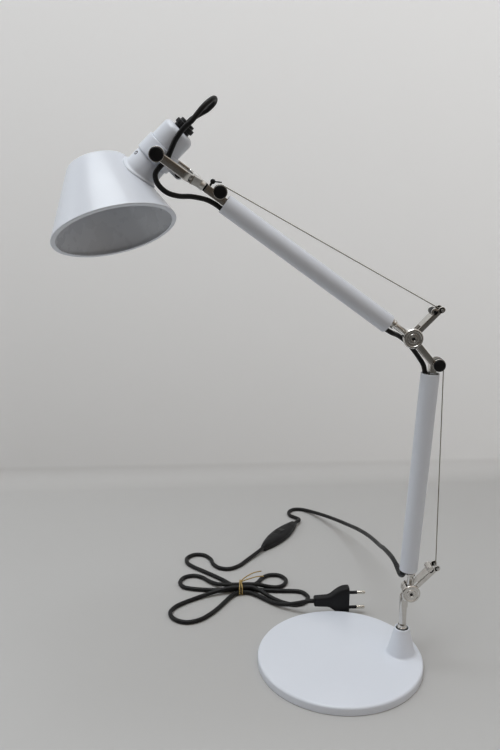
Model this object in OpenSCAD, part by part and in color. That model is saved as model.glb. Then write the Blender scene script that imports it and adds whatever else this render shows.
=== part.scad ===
// Desk lamp with two wire-balanced arms on a round weighted base.
// Origin: centre of the base on the table. +X runs to the stem, +Z is up, the arms fold in the XZ plane.

/* [Base] */
// Diameter of the base cover
base_d = 170; // [150:1:200]
// Height of the base over the table, without the cone
base_h = 9.3; // [8:0.1:14]
// Thickness of the cover's top plate
cover_t = 3; // [2.5:0.1:4]
// Wall of the cover's rim
cover_wall = 2.5; // [2:0.1:4]
// Radius of the cover's upper edge
cover_edge = 2.2; // [1:0.1:2.4]
// Thickness of the pad under the base
pad_t = 1; // [0.8:0.1:1.5]
// Distance of the stem from the edge of the base
stem_inset = 21; // [19.5:0.5:35]
// Height of the cone's mouth over the table
cone_top_z = 38.6; // [30:0.1:48]
// Diameter of the cone at its mouth
cone_top_d = 15.6; // [14.6:0.1:18]
// Diameter of the cone at its foot
cone_foot_d = 29.5; // [26:0.5:33]
// Radius of the hollow fillet round the cone's foot
cone_fillet = 4; // [2:0.5:5]
// Count of the screws that hold the weight
base_screws_n = 3; // [3:1:6]
// Diameter of the circle of those screws
screw_circle_d = 90; // [60:1:94]
// Diameter of those screws
base_screw_d = 4; // [3:0.5:5]

/* [Stem] */
// Diameter of the stem
stem_d = 7.5; // [6.5:0.1:8]
// Diameter of the collar that rests on the bush
collar_d = 10; // [9:0.1:11.5]
// Height of the collar
collar_h = 6; // [3:0.5:8]
// Wall of the bush in the cone
bush_wall = 2.6; // [1.8:0.1:2.8]

/* [Pivots] */
// Height of the lower pivot over the table
pivot_z = 81; // [76:0.5:90]
// Offset of the lower pivot from the stem
pivot_out = 5; // [4:0.5:6]
// Diameter of the pivot axles
axle_d = 5; // [4:0.1:6]
// Diameter of the eyes round the axles
eye_d = 14; // [12:0.1:16]
// Thickness of an arm's eye
eye_t = 6.4; // [6.2:0.1:7]
// Thickness of the sheet of clevis, brackets and levers
sheet_t = 1.5; // [1.2:0.1:1.8]
// Diameter of the turned pivot discs
disc_d = 19; // [17:0.1:22]
// Thickness of the turned pivot discs
disc_t = 3.2; // [2.5:0.1:4]

/* [Levers] */
// Length of a lever from its pivot
lever_l = 42; // [38:0.5:46]
// Width of a lever, seen from the side
lever_w = 4.8; // [4.5:0.1:5.4]
// Width of the elbow bracket's strips, seen from the side
strip_w = 5.5; // [5:0.1:7]
// Angle of the lower lever over the horizontal
base_lever_angle = 46.5; // [43:0.5:48]
// Angle of the elbow lever from the lower arm's cross direction
elbow_lever_angle = 49; // [45:0.5:52]
// Diameter of the roller on a lever
anchor_d = 6.6; // [6:0.1:7]
// Distance of the roller from the lever's tip
anchor_inset = 10.8; // [10.5:0.1:11.5]
// Diameter of the pin that holds the wire
wire_pin_d = 2.6; // [2.2:0.1:3]

/* [Arms] */
// Outer diameter of the tubes
tube_d = 18; // [17.6:0.1:20]
// Wall of the tubes
tube_wall = 1; // [0.8:0.05:1.2]
// Length of the lower tube
lower_tube_l = 205.5; // [160:0.5:260]
// Length of the upper tube
upper_tube_l = 187; // [150:0.5:240]
// Distance from the lower pivot to the end of its tube
lower_foot_l = 22.5; // [21:0.5:30]
// Distance from the elbow pivot to the end of its tube
upper_foot_l = 25.5; // [23:0.5:30]
// Offset of the tube's axis from the pivot
tube_off = 3; // [2.6:0.1:3.4]
// Lean of the lower arm to the right
lower_lean = 2.8; // [-2:0.1:6]
// Angle of the upper arm from the lower arm
elbow_fold = -57; // [-70:0.5:-45]
// Distance of the elbow pivot from the lower tube's axis
elbow_out = 22; // [20:0.5:25]
// Height of the elbow pivot over the lower tube's end
elbow_rise = 34; // [31:0.5:38]
// Length of the plugs in the tube ends
plug_l = 14; // [10:0.5:18]

/* [Wires] */
// Diameter of the balance wires
wire_d = 1; // [0.8:0.1:1.2]
// Radius of the wire's path round a pulley
wire_r = 6; // [5.8:0.1:6.4]
// Diameter of the black caps on the pulley bolts
cap_d = 11.5; // [10:0.1:13]
// Thickness of those caps
cap_t = 4; // [2.5:0.1:5]
// Distance from a tube's end to its pulley
pulley_rise = 9; // [8.5:0.1:10]
// Diameter of the balance springs
spring_d = 7; // [6:0.1:7.2]
// Length of the balance springs
spring_l = 110; // [60:1:130]

/* [Head] */
// Distance from the clamp ear on the head to the fork's crotch
fork_gap = 11.2; // [10:0.1:16]
// Length of the fork's round root
fork_root_l = 4; // [3:0.5:9]
// Roll of the fork about the upper arm
fork_roll = -4; // [-10:0.5:10]
// Angle of the head's axis from the fork
head_tilt = 100; // [90:0.5:110]
// Turn of the shade about the head's axis
shade_turn = -29; // [-40:1:40]
// Inner half width of the fork
fork_half = 21.3; // [20.8:0.1:24]
// Thickness of the fork's bars
fork_t = 3; // [2.5:0.1:4]
// Width of the fork's bars
fork_w = 7; // [6:0.1:8]
// Diameter of the head ring
ring_d = 34; // [32.6:0.1:36]
// Length of the head ring
ring_l = 16; // [15:0.5:18]
// Diameter of the rear cap and of the neck
rear_d = 30.5; // [30:0.1:32]
// Length of the rear cap
rear_l = 19.5; // [15:0.5:22]
// Radius of the rear cap's edge
rear_edge = 5; // [3:0.5:6]
// Diameter of the cord gland
gland_d = 18.5; // [13:0.5:19.5]
// Height of the cord gland
gland_h = 9; // [6:0.5:11]

/* [Shade] */
// Diameter of the shade's mouth
mouth_d = 113; // [100:1:125]
// Diameter of the shade's top
crown_d = 54; // [46:1:60]
// Height of the shade
shade_h = 65; // [60:1:75]
// Wall of the shade
shade_t = 1.2; // [1:0.1:1.6]
// Width of the inward lip round the shade's mouth
lip_w = 3.4; // [2:0.1:4.5]
// Distance from the head pivot to the shade's wall
neck_reach = 23.4; // [22:0.1:26]
// Distance from the head's axis to the crown, along the slanted wall
crown_back = 25; // [22.5:0.5:28]

/* [Cord] */
// Diameter of the mains cord
cord_d = 5; // [4.6:0.1:5.2]
// Diameter of the cord in the arms
arm_cord_d = 4.6; // [4:0.1:4.6]
// Length of the inline switch
switch_l = 92; // [84:1:96]
// Width of the inline switch
switch_w = 21.5; // [19:0.5:25]
// Height of the inline switch
switch_h = 13; // [12:0.5:15]
// Width of the plug
plug_w = 35; // [33:0.5:36]
// Thickness of the plug
plug_t = 13.7; // [13:0.1:15]
// Length of the plug's body
plug_body_l = 26; // [24:0.5:28]
// Diameter of the plug's pins
plug_pin_d = 4; // [4:0.1:4.8]
// Length of the plug's pins
plug_pin_l = 19; // [18:0.5:20]
// Distance between the plug's pins
plug_pin_pitch = 18.6; // [18:0.1:19]

/* [Hidden] */
$fn = 64;

// Clearances
run_gap = 0.05;
seat_gap = 0.05;
side_gap = 0.15;
soft_gap = 0.3;

// Stack of a pivot, from the middle outwards
cheek_in = eye_t / 2 + side_gap;
cheek_out = cheek_in + sheet_t;
lever_in = cheek_out + seat_gap;
lever_out = lever_in + sheet_t;
disc_in = lever_out + seat_gap;
disc_out = disc_in + disc_t;
axle_recess = 1.4;

// Places along the arms
stem_x = base_d / 2 - stem_inset;
pivot_x = stem_x + pivot_out;
lower_end = lower_foot_l + lower_tube_l;
upper_end = upper_foot_l + upper_tube_l;
elbow_x = -tube_off - elbow_out;
elbow_z = lower_end + elbow_rise;
pulley_x = wire_r - tube_off;
bore_d = tube_d - 2 * tube_wall;
cord_x = -tube_off - bore_d / 2 + arm_cord_d / 2 + 0.5;
spring_x = cord_x + arm_cord_d / 2 + 0.5 + spring_d / 2;
neck_d = 6;
foot_collar_d = 9;
foot_collar_l = 6;
foot_rod_d = 8;

// Bracket legs, seen from the side
leg_w = 7.4;
leg_x = -tube_off - 2.4 + leg_w / 2;
leg_in = 12;
pulley_pin_d = 4;
boss_d = 9;

// Swivel of the fork
swivel_x = -1.5;
swivel_z = upper_end + 21;
swivel_block = 4;
swivel_pin_d = 5;
washer_t = 1.6;
washer_gap = 0.1;
fork_root_z = swivel_z + washer_t + 2 * washer_gap;
fork_root_d = 9;
fork_flare_l = 12;
fork_crotch = 4;
fork_eye_d = 13.4;
fork_pin_d = 6;
fork_cap_t = 2.6;
fork_flare_z = fork_root_z + fork_root_l;

// Head
ear_d = 9;
ear_x = ring_d / 2 + 7.5;
ring_bore = 28;
half_ring = ring_l / 2;
rear_wall = 2;
spigot_l = 5.5;
holder_d = 21;
holder_tip = neck_reach + 7;
bulb_d = 15;
bulb_l = 24;
neck_gap = 0.2;
neck_bore = 25;
flange_d = 36;
flange_t = 1.6;
screw_turn = 58;
screw_drop = 5;
slope = atan2((mouth_d - crown_d) / 2, shade_h);
crown_edge = 4;
rim_r = 1;

upper_reach = fork_flare_z + fork_crotch + fork_gap + ear_x + ear_d / 2;

// Table goods
cord_r = cord_d / 2;
tie_t = 0.6;
tie_w = 4;
tie_at = [-95, 148, 0];
tie_half = 10.2;
tie_top = 11;
plug_at = [0, 92.3, 0];
plug_neck_l = 14;
switch_at = [-34, 288, 0];
switch_angle = 54.8;
rocker_l = 20;
rocker_w = 8;
relief_d = 7.2;

// Routes of the free cords, from end to end
lead_route = [[61.8, 48, 93.8], [62.7, 85, 84.6], [67, 122, 69.8], [67.4, 175, 55], [64.5, 228, 39.5],
    [57, 272, 27], [47, 308, 18], [34.5, 340, 10.5], [21, 366, 4.6], [8, 379, 2.6], [-4.5, 379, 2.5],
    [-11.5, 370, 2.5], [-11, 358.5, 2.5], [-5, 350.5, 3], [-0.6, 343, 3.9], [-0.6, 336, 4.8]];
run_route = [[-82, 224, 2.9], [-94, 209, 2.5], [-107, 201.5, 2.5], [-119.5, 205, 2.5], [-127, 216, 2.5],
    [-130, 229, 2.5], [-138.5, 240.5, 2.5], [-151, 242.5, 2.5], [-160.5, 234, 2.5], [-160.5, 221, 2.5],
    [-152.5, 209.5, 2.5], [-140, 197.5, 2.5], [-127.5, 185.5, 2.5]];
// Five passes through the tie, two loops on the right and two on the left
hank_route = [[-116, 173.5, 2.6], [-109.5, 165, 2.9], [-103, 157.6, 3.3], [-95, 154.4, 3.4],
    [-87, 154.4, 3.4], [-79.5, 157.4, 3.1], [-72.5, 165.3, 2.7], [-66.4, 175.8, 2.5], [-57, 182.2, 2.5],
    [-45, 180.8, 2.5], [-37.8, 169.6, 2.5], [-41.3, 157.6, 2.5], [-50, 152, 2.6], [-60, 151.3, 3.8],
    [-72, 151.4, 6.7], [-83, 151.3, 8], [-95, 151.2, 8.1], [-105, 151.7, 7.9], [-114, 154.4, 6.6],
    [-124, 161.5, 4.1], [-133, 171.3, 2.7], [-141, 181, 2.5], [-151.8, 186.4, 2.5],
    [-163.6, 182.4, 2.5], [-168.6, 170.4, 2.5], [-164, 159, 2.5], [-152.5, 153.9, 2.5],
    [-140, 151.3, 2.5], [-126, 149.2, 2.7], [-112, 148.1, 3.2], [-103, 148, 3.4], [-95, 148, 3.4],
    [-87, 148, 3.4], [-78, 147, 3.2], [-66, 145.4, 2.7], [-50, 143.4, 2.5], [-33, 142, 2.5],
    [-21.6, 138.6, 2.5], [-15.8, 127, 2.5], [-20.5, 116, 2.5], [-31, 111, 2.5], [-42.5, 113.8, 2.5],
    [-53.5, 121.5, 2.7], [-63.5, 131, 3.8], [-72.5, 139, 6.2], [-81, 143.9, 8], [-88, 144.8, 8.1],
    [-95, 144.8, 8.1], [-103, 144.7, 8], [-113, 143.9, 7], [-124, 142, 5.2], [-137, 137.8, 3.4],
    [-150, 131, 2.6], [-163, 122.6, 2.5], [-173.5, 113, 2.5], [-178.5, 100.5, 2.5], [-172.5, 87, 2.5],
    [-159, 80.5, 2.5], [-144.5, 85, 2.5], [-133, 95.5, 2.5], [-123, 108.5, 2.6], [-114.5, 122, 2.8],
    [-107, 133.2, 3.1], [-99, 139.8, 3.4], [-91, 141.5, 3.4], [-84, 139.6, 3.3], [-77, 134.5, 3],
    [-69.5, 127, 2.8]];
tail_route = [[-61.5, 118.6, 3], [-52, 110, 4.4], [-42, 103.2, 7.6], [-32, 97.6, 12], [-24, 93.8, 15.8]];
// Room at the slanted ends of the cord across the elbow
slant_gap = 0.9;
// From the elbow pivot in the lower arm's frame, from the swivel in the upper arm's,
// and from the head pivot in the fork's
elbow_route = [[15.4, 2.5, -27.2], [11.8, 7.6, -21], [7.2, 12, -14.9], [1.3, 14, -8.8], [-5.4, 12.6, -3.6],
    [-12, 7.8, 0.2], [-18.6, 2.2, 3.1]];
head_route = [[-9.8, -1, -5.3], [-14.8, -4, 5.9], [-20.8, -8, 15.1], [-24.2, -12, 25], [-22.9, -15.5, 35.2],
    [-17.2, -17.5, 41.8]];
gland_route = [[0, -18.5, -9.8], [6.1, -18.5, -8.5], [19.3, -18.5, -6.1], [31, -18.2, -6.6],
    [39, -17.6, -8.4], [46.5, -17, -9], [55, -15.4, -9.8], [62.4, -10.8, -11.6], [65, -3.4, -13.4],
    [61.8, 3.4, -14.6], [54.4, 6, -13.4], [46.5, 3.2, -9.8]];
fork_hold = [-5.4, -18.7, -8.2];
// From the lower pivot in the lower arm's frame
relief_route = [[-8.1, 3.8, 15.4], [-8, 9.8, 13.4], [-7.8, 18, 13.2], [-7.7, 28, 13.6]];

// A point of the XZ plane turned by the lean of an arm
function leaned(x, z, a) = [x * cos(a) + z * sin(a), z * cos(a) - x * sin(a)];
upper_lean = lower_lean + elbow_fold;
function lower_point(x, y, z) = let (p = leaned(x, z, lower_lean)) [pivot_x + p[0], y, pivot_z + p[1]];
elbow_at = lower_point(elbow_x, 0, elbow_z);
function upper_point(x, y, z) = let (p = leaned(x, z, upper_lean)) elbow_at + [p[0], y, p[1]];

// Frames of the moving groups
module lower_frame() { translate([pivot_x, 0, pivot_z]) rotate([0, lower_lean, 0]) children(); }
module upper_frame() {
    lower_frame() translate([elbow_x, 0, elbow_z]) rotate([0, elbow_fold, 0]) children();
}
module fork_frame() { upper_frame() translate([swivel_x, 0, 0]) rotate([0, 0, fork_roll]) children(); }
module head_frame() { fork_frame() translate([0, 0, upper_reach]) rotate([0, head_tilt, 0]) children(); }
module shade_frame() { head_frame() rotate([0, 0, shade_turn]) children(); }
module switch_frame() { translate(switch_at) rotate([0, 0, switch_angle]) children(); }

// World points and directions of the head, for its cord
function turned_z(p, a) = [p[0] * cos(a) - p[1] * sin(a), p[0] * sin(a) + p[1] * cos(a), p[2]];
function turned_y(p, a) = [p[0] * cos(a) + p[2] * sin(a), p[1], p[2] * cos(a) - p[0] * sin(a)];
function fork_point(p) = let (q = turned_z(p + [0, 0, upper_reach], fork_roll))
    upper_point(q[0] + swivel_x, q[1], q[2]);
function head_point(p) = fork_point(turned_y(p, head_tilt));
head_axis = head_point([0, 0, 1]) - head_point([0, 0, 0]);
fork_axis_y = head_point([0, 1, 0]) - head_point([0, 0, 0]);
arm_axis = upper_point(0, 0, 1) - elbow_at;
echo(elbow = elbow_at, head = head_point([0, 0, 0]), head_axis = head_axis, tilt_axis = fork_axis_y,
    arm_axis = arm_axis, swivel = upper_point(swivel_x, 0, swivel_z));

// Flat shapes
module strip(from, to, w) {
    d = to - from;
    translate(from) rotate(atan2(d[1], d[0])) translate([0, -w / 2]) square([norm(d), w]);
}
// A flat XZ outline made thick along Y, between y0 and y1
module plate(y0, y1) { translate([0, y1, 0]) rotate([90, 0, 0]) linear_extrude(y1 - y0) children(); }
// The same outline on both sides of the middle plane
module cheeks(y0, y1) {
    plate(y0, y1) children();
    plate(-y1, -y0) children();
}
// A rod along Y between y0 and y1
module cross_rod(d, y0, y1) { translate([0, y1, 0]) rotate([90, 0, 0]) cylinder(d = d, h = y1 - y0); }
// A cut that runs past both ends
module drill(d, l) { cylinder(d = d, h = l, center = true); }
module cross_drill(d) { rotate([90, 0, 0]) drill(d, 4 * disc_out); }

// Sweeps
function unit(v) = v / norm(v);
function tangents(p) = let (n = len(p) - 1) [for (i = [0:n]) unit(p[min(i + 1, n)] - p[max(i - 1, 0)])];
function square_to(v, t) = unit(v - (v * t) * t);
function first_normal(t) = square_to(abs(t[1]) < 0.9 ? [0, 1, 0] : [1, 0, 0], t);
function normals(t) = [
    for (i = 0, n = first_normal(t[0]); i < len(t); i = i + 1, n = i < len(t) ? square_to(n, t[i]) : n) n
];
function smooth_step(a, b, c, d, u) =
    0.5 * (2 * b + (c - a) * u + (2 * a - 5 * b + 4 * c - d) * u * u + (3 * b - a - 3 * c + d) * u * u * u);
// A smooth curve through hand-chosen points, with k steps between them
function smooth(p, k) = let (n = len(p) - 1) [
    for (i = [0:n - 1], j = [0:k - 1])
        smooth_step(p[max(i - 1, 0)], p[i], p[i + 1], p[min(i + 2, n)], j / k),
    p[n]
];
// A tube along points, closed at both ends; d is one diameter or one for each point
module sweep(p, d, sides) {
    t = tangents(p);
    n = normals(t);
    last = len(p) - 1;
    rings = [for (i = [0:last], s = [0:sides - 1]) let (r = (is_list(d) ? d[i] : d) / 2,
        a = 360 * s / sides)
        p[i] + r * (cos(a) * n[i] + sin(a) * cross(t[i], n[i]))];
    walls = [for (i = [0:last - 1], s = [0:sides - 1], h = [0, 1]) let (a = i * sides + s,
        b = i * sides + (s + 1) % sides)
        h == 0 ? [a, a + sides, b] : [b, a + sides, b + sides]];
    ends = [[for (s = [0:sides - 1]) s], [for (s = [sides - 1:-1:0]) last * sides + s]];
    polyhedron(points = rings, faces = concat(walls, ends), convexity = 8);
}

// Base
rim_z = 0.3;
module base_cover() {
    cone_z = base_h - 0.5;
    foot_r = cone_foot_d / 2;
    inner_d = base_d - 2 * cover_wall;
    color("white") difference() {
        union() {
            rotate_extrude($fn = 128) {
                translate([0, rim_z]) square([base_d / 2, base_h - rim_z - cover_edge]);
                translate([0, rim_z]) square([base_d / 2 - cover_edge, base_h - rim_z]);
                translate([base_d / 2 - cover_edge, base_h - cover_edge]) circle(cover_edge);
            }
            translate([stem_x, 0, 0]) rotate_extrude() {
                polygon([[0, cone_z], [foot_r, cone_z], [cone_top_d / 2, cone_top_z - 0.6],
                    [cone_top_d / 2 - 0.6, cone_top_z], [0, cone_top_z]]);
                difference() {
                    translate([0, cone_z]) square([foot_r + cone_fillet, cone_fillet + 0.5]);
                    translate([foot_r + cone_fillet, base_h + cone_fillet]) circle(cone_fillet);
                }
            }
        }
        translate([0, 0, rim_z - 1]) cylinder(d = inner_d, h = base_h - rim_z - cover_t + 1, $fn = 128);
        translate([stem_x, 0, base_h - cover_t + 1.5]) cylinder(d = stem_d + 2 * bush_wall, h = cone_top_z);
        for (i = [0:base_screws_n - 1]) rotate(360 * i / base_screws_n)
            translate([screw_circle_d / 2, 0, base_h - cover_t - 1])
                cylinder(d = base_screw_d + 2 * run_gap, h = 3);
    }
}
weight_top = base_h - cover_t - seat_gap;
module base_weight() {
    color("dimgray") difference() {
        translate([0, 0, pad_t])
            cylinder(d = base_d - 2 * cover_wall - 2 * soft_gap, h = weight_top - pad_t, $fn = 128);
        for (i = [0:base_screws_n - 1]) rotate(360 * i / base_screws_n)
            translate([screw_circle_d / 2, 0, 0]) {
            drill(base_screw_d + 2 * run_gap, 4 * base_h);
            translate([0, 0, pad_t - 1]) cylinder(d = 2 * base_screw_d + 0.4, h = 3.2);
        }
    }
}
module base_pad() {
    color("darkgray") cylinder(d = base_d - 2 * cover_wall - 2 * soft_gap, h = pad_t, $fn = 128);
}
module base_screws() {
    color("silver") for (i = [0:base_screws_n - 1]) rotate(360 * i / base_screws_n)
        translate([screw_circle_d / 2, 0, pad_t]) {
            translate([0, 0, 0.2]) cylinder(d = 2 * base_screw_d, h = 1.95);
            translate([0, 0, 1]) cylinder(d = base_screw_d, h = base_h - pad_t - cover_t + 0.8);
        }
}
bush_z = base_h - cover_t + 1.5;
bush_top = cone_top_z - 0.8;
module stem_bush() {
    color("black") translate([stem_x, 0, bush_z + seat_gap]) difference() {
        cylinder(d = stem_d + 2 * bush_wall - 2 * seat_gap, h = bush_top - bush_z - seat_gap);
        translate([0, 0, 2]) cylinder(d = stem_d + 2 * run_gap, h = cone_top_z);
    }
}

// Stem
clevis_z = pivot_z - 17;
module stem_rod() {
    color("silver") translate([stem_x, 0, 0]) {
        translate([0, 0, bush_z + 2 + 2 * seat_gap]) cylinder(d = stem_d, h = clevis_z + 6 - bush_z - 2);
        translate([0, 0, bush_top + side_gap]) rotate_extrude()
            polygon([[0, 0], [collar_d / 2, 0], [collar_d / 2, collar_h - 2], [stem_d / 2, collar_h],
                [0, collar_h]]);
    }
}
module clevis_outline() {
    strip([stem_x - pivot_x, -17], [stem_x - pivot_x, -6], stem_d - 0.7);
    strip([stem_x - pivot_x + 0.4, -8], [0, 0], stem_d - 0.2);
    circle(d = eye_d);
}
module stem_clevis() {
    color("silver") translate([pivot_x, 0, pivot_z]) difference() {
        union() {
            cheeks(cheek_in, cheek_out) clevis_outline();
            translate([stem_x - pivot_x - stem_d / 2 + 0.35, -cheek_out, -11])
                cube([stem_d - 0.7, 2 * cheek_out, 11 - eye_d / 2 - 0.4]);
        }
        translate([stem_x - pivot_x, 0, -18]) cylinder(d = stem_d + 2 * seat_gap, h = 7.1);
        cross_drill(axle_d + 2 * run_gap);
    }
}

// Lever of a pivot, along +X, its web on the +Z side; behind the web a roller, at the tip the wire's pin
anchor_up = lever_w / 2 + 0.6;
wire_pin_in = 5;
wire_pin_down = 0.7;
module lever() {
    root = eye_d / 2 + 6;
    web_l = lever_l - anchor_inset - anchor_d / 2 - soft_gap - root;
    difference() {
        union() {
            cheeks(lever_in, lever_out) {
                circle(d = eye_d);
                strip([0, 0], [lever_l - wire_pin_in, 0], lever_w);
                translate([lever_l - wire_pin_in, -wire_pin_down]) circle(d = wire_pin_d + 3.4);
                translate([lever_l - anchor_inset, anchor_up]) circle(d = anchor_d);
            }
            translate([root, -lever_out, lever_w / 2 - sheet_t]) cube([web_l, 2 * lever_out, sheet_t]);
        }
        cross_drill(axle_d + 2 * run_gap);
        translate([lever_l - anchor_inset, 0, anchor_up]) cross_drill(3 + 2 * run_gap);
        translate([lever_l - wire_pin_in, 0, -wire_pin_down]) cross_drill(wire_pin_d + 2 * run_gap);
    }
}
module anchor() {
    translate([lever_l - anchor_inset, 0, anchor_up]) {
        cross_rod(anchor_d, -lever_in + 0.2, lever_in - 0.2);
        cross_rod(3, -lever_out - 0.3, lever_out + 0.3);
    }
    translate([lever_l - wire_pin_in, 0, -wire_pin_down])
        cross_rod(wire_pin_d, -lever_out - 0.3, lever_out + 0.3);
}
module base_lever_frame() { translate([pivot_x, 0, pivot_z]) rotate([0, -base_lever_angle, 0]) children(); }
module elbow_lever_frame() {
    lower_frame() translate([elbow_x, 0, elbow_z]) rotate([0, -elbow_lever_angle, 0]) children();
}
module base_lever() { color("silver") base_lever_frame() lever(); }
module base_anchor() { color("black") base_lever_frame() anchor(); }
module elbow_lever() { color("silver") elbow_lever_frame() lever(); }
module elbow_anchor() { color("black") elbow_lever_frame() anchor(); }

// Axle and turned discs of a pivot
module axle() { cross_rod(axle_d, -disc_out + axle_recess, disc_out - axle_recess); }
module disc(side, profile) {
    rotate([side, 0, 0]) translate([0, 0, disc_in]) rotate_extrude() polygon(profile);
}
module discs() {
    r = disc_d / 2;
    rear_r = eye_d / 2 - 0.7;
    bore = axle_d / 2 + run_gap;
    hub = axle_d / 2 + 1.6;
    disc(90, [[bore, 0], [r - 0.6, 0], [r, 0.6], [r, disc_t - 1], [r - 1, disc_t], [r - 2.4, disc_t],
        [r - 3, disc_t - 0.5], [hub + 0.6, disc_t - 0.5], [hub, disc_t], [bore, disc_t]]);
    disc(-90, [[bore, 0], [rear_r, 0], [rear_r, disc_t - 1], [rear_r - 1, disc_t], [bore, disc_t]]);
}
module lower_axle() { color("silver") translate([pivot_x, 0, pivot_z]) axle(); }
module lower_discs() { color("silver") translate([pivot_x, 0, pivot_z]) discs(); }
module elbow_axle() { color("silver") lower_frame() translate([elbow_x, 0, elbow_z]) axle(); }
module elbow_discs() { color("silver") lower_frame() translate([elbow_x, 0, elbow_z]) discs(); }

// Arms
module foot(foot_l) {
    difference() {
        union() {
            cross_rod(eye_d, -eye_t / 2, eye_t / 2);
            cylinder(d = neck_d, h = foot_l);
            translate([0, 0, foot_l - foot_collar_l]) cylinder(d = foot_collar_d,
                h = foot_collar_l - seat_gap);
            translate([0, 0, foot_l - 1]) cylinder(d = foot_rod_d, h = plug_l);
        }
        cross_drill(axle_d + 2 * run_gap);
    }
}
module tube(foot_l, l) {
    translate([-tube_off, 0, foot_l]) difference() {
        cylinder(d = tube_d, h = l);
        translate([0, 0, -1]) cylinder(d = bore_d, h = l + 2);
    }
}
plug_in = 0.8;
module plug_blank() {
    difference() {
        translate([-tube_off, 0, 0]) cylinder(d = bore_d - 2 * seat_gap, h = plug_l);
        translate([cord_x, 0, 0]) drill(arm_cord_d + 2 * seat_gap, 4 * plug_l);
        children();
    }
}
module plugs(foot_l, end) {
    translate([0, 0, foot_l + plug_in]) plug_blank() drill(foot_rod_d + 2 * seat_gap, 4 * plug_l);
    translate([0, 0, end - plug_in - plug_l]) plug_blank() {
        translate([leg_x - leg_w / 2 - seat_gap, -cheek_out - seat_gap, plug_l - leg_in])
            cube([leg_w + 2 * seat_gap, 2 * (cheek_out + seat_gap), leg_in + 1]);
        translate([-tube_off, 0, 0]) drill(2 * wire_d, 4 * plug_l);
    }
}
module tube_cord(foot_l, l) {
    translate([cord_x, 0, foot_l]) cylinder(d = arm_cord_d, h = l);
}
// Closely wound spring: one ridge for each turn
module spring(foot_l, end) {
    turns = floor(spring_l / 2.5);
    pitch = spring_l / turns;
    outer = spring_d / 2;
    inner = outer - 1.2;
    top = end - plug_in - plug_l - 6;
    anchor_z = foot_l + plug_l - 1 + seat_gap;
    translate([spring_x, 0, top - spring_l]) rotate_extrude() polygon(concat(
        [[inner, 0]],
        [for (i = [0:turns - 1], h = [0, 1]) [outer - (h == 0 ? 0.4 : 0), (i + h / 2) * pitch]],
        [[outer - 0.4, spring_l], [inner, spring_l]]));
    translate([spring_x, 0, top - 0.5]) cylinder(r = outer - 0.2, h = 1.5);
    translate([spring_x, 0, top - spring_l - 1]) cylinder(r = outer - 0.2, h = 1.5);
    translate([spring_x, 0, anchor_z]) cylinder(d = 2, h = top - spring_l - anchor_z);
}
module lower_foot() { color("silver") lower_frame() foot(lower_foot_l); }
module upper_foot() { color("silver") upper_frame() foot(upper_foot_l); }
module lower_tube() { color("white") lower_frame() tube(lower_foot_l, lower_tube_l); }
module upper_tube() { color("white") upper_frame() tube(upper_foot_l, upper_tube_l); }
module lower_plugs() { color("gray") lower_frame() plugs(lower_foot_l, lower_end); }
module upper_plugs() { color("gray") upper_frame() plugs(upper_foot_l, upper_end); }
module lower_spring() { color("silver") lower_frame() spring(lower_foot_l, lower_end); }
module upper_spring() { color("silver") upper_frame() spring(upper_foot_l, upper_end); }
module lower_tube_cord() { color("black") lower_frame() tube_cord(lower_foot_l, lower_tube_l); }
module upper_tube_cord() { color("black") upper_frame() tube_cord(upper_foot_l, upper_tube_l); }

// Brackets at the tube ends
module bracket_leg(end) {
    strip([leg_x, end - plug_in - leg_in + seat_gap], [leg_x, end + pulley_rise], leg_w);
    translate([pulley_x, end + pulley_rise]) circle(d = boss_d);
    strip([leg_x, end + pulley_rise], [pulley_x, end + pulley_rise], boss_d - 1);
}
bend_x = leg_x + 0.6;
bend_z = lower_end + pulley_rise + 2;
module elbow_bracket() {
    run = [elbow_x - bend_x, elbow_z - bend_z];
    web_l = norm(run) - eye_d / 2 - 6;
    color("silver") lower_frame() difference() {
        union() {
            cheeks(cheek_in, cheek_out) {
                bracket_leg(lower_end);
                strip([bend_x, bend_z], [elbow_x, elbow_z], strip_w);
                translate([elbow_x, elbow_z]) circle(d = eye_d);
            }
            translate([leg_x - leg_w / 2, -cheek_out, lower_end - plug_in - leg_in + seat_gap])
                cube([1, 2 * cheek_out, plug_in + leg_in + pulley_rise - 1]);
            plate(-cheek_out, cheek_out) intersection() {
                translate([bend_x, bend_z]) rotate(atan2(run[1], run[0])) translate([3, strip_w / 2 - 1])
                    square([web_l, 1]);
                strip([bend_x, bend_z], [elbow_x, elbow_z], strip_w);
            }
        }
        translate([pulley_x, 0, lower_end + pulley_rise]) cross_drill(pulley_pin_d + 2 * run_gap);
        translate([elbow_x, 0, elbow_z]) cross_drill(axle_d + 2 * run_gap);
    }
}
module head_bracket() {
    color("silver") upper_frame() difference() {
        union() {
            cheeks(cheek_in, cheek_out) {
                bracket_leg(upper_end);
                strip([leg_x, upper_end], [leg_x, swivel_z], leg_w);
            }
            translate([leg_x - leg_w / 2, -cheek_out, upper_end - plug_in - leg_in + seat_gap])
                cube([1, 2 * cheek_out, swivel_z - upper_end + plug_in + leg_in - seat_gap]);
            translate([leg_x - leg_w / 2, -cheek_out, swivel_z - swivel_block])
                cube([leg_w, 2 * cheek_out, swivel_block]);
        }
        translate([pulley_x, 0, upper_end + pulley_rise]) cross_drill(pulley_pin_d + 2 * run_gap);
        translate([swivel_x, 0, swivel_z]) drill(swivel_pin_d + 2 * run_gap, 3 * swivel_block);
    }
}
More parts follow.
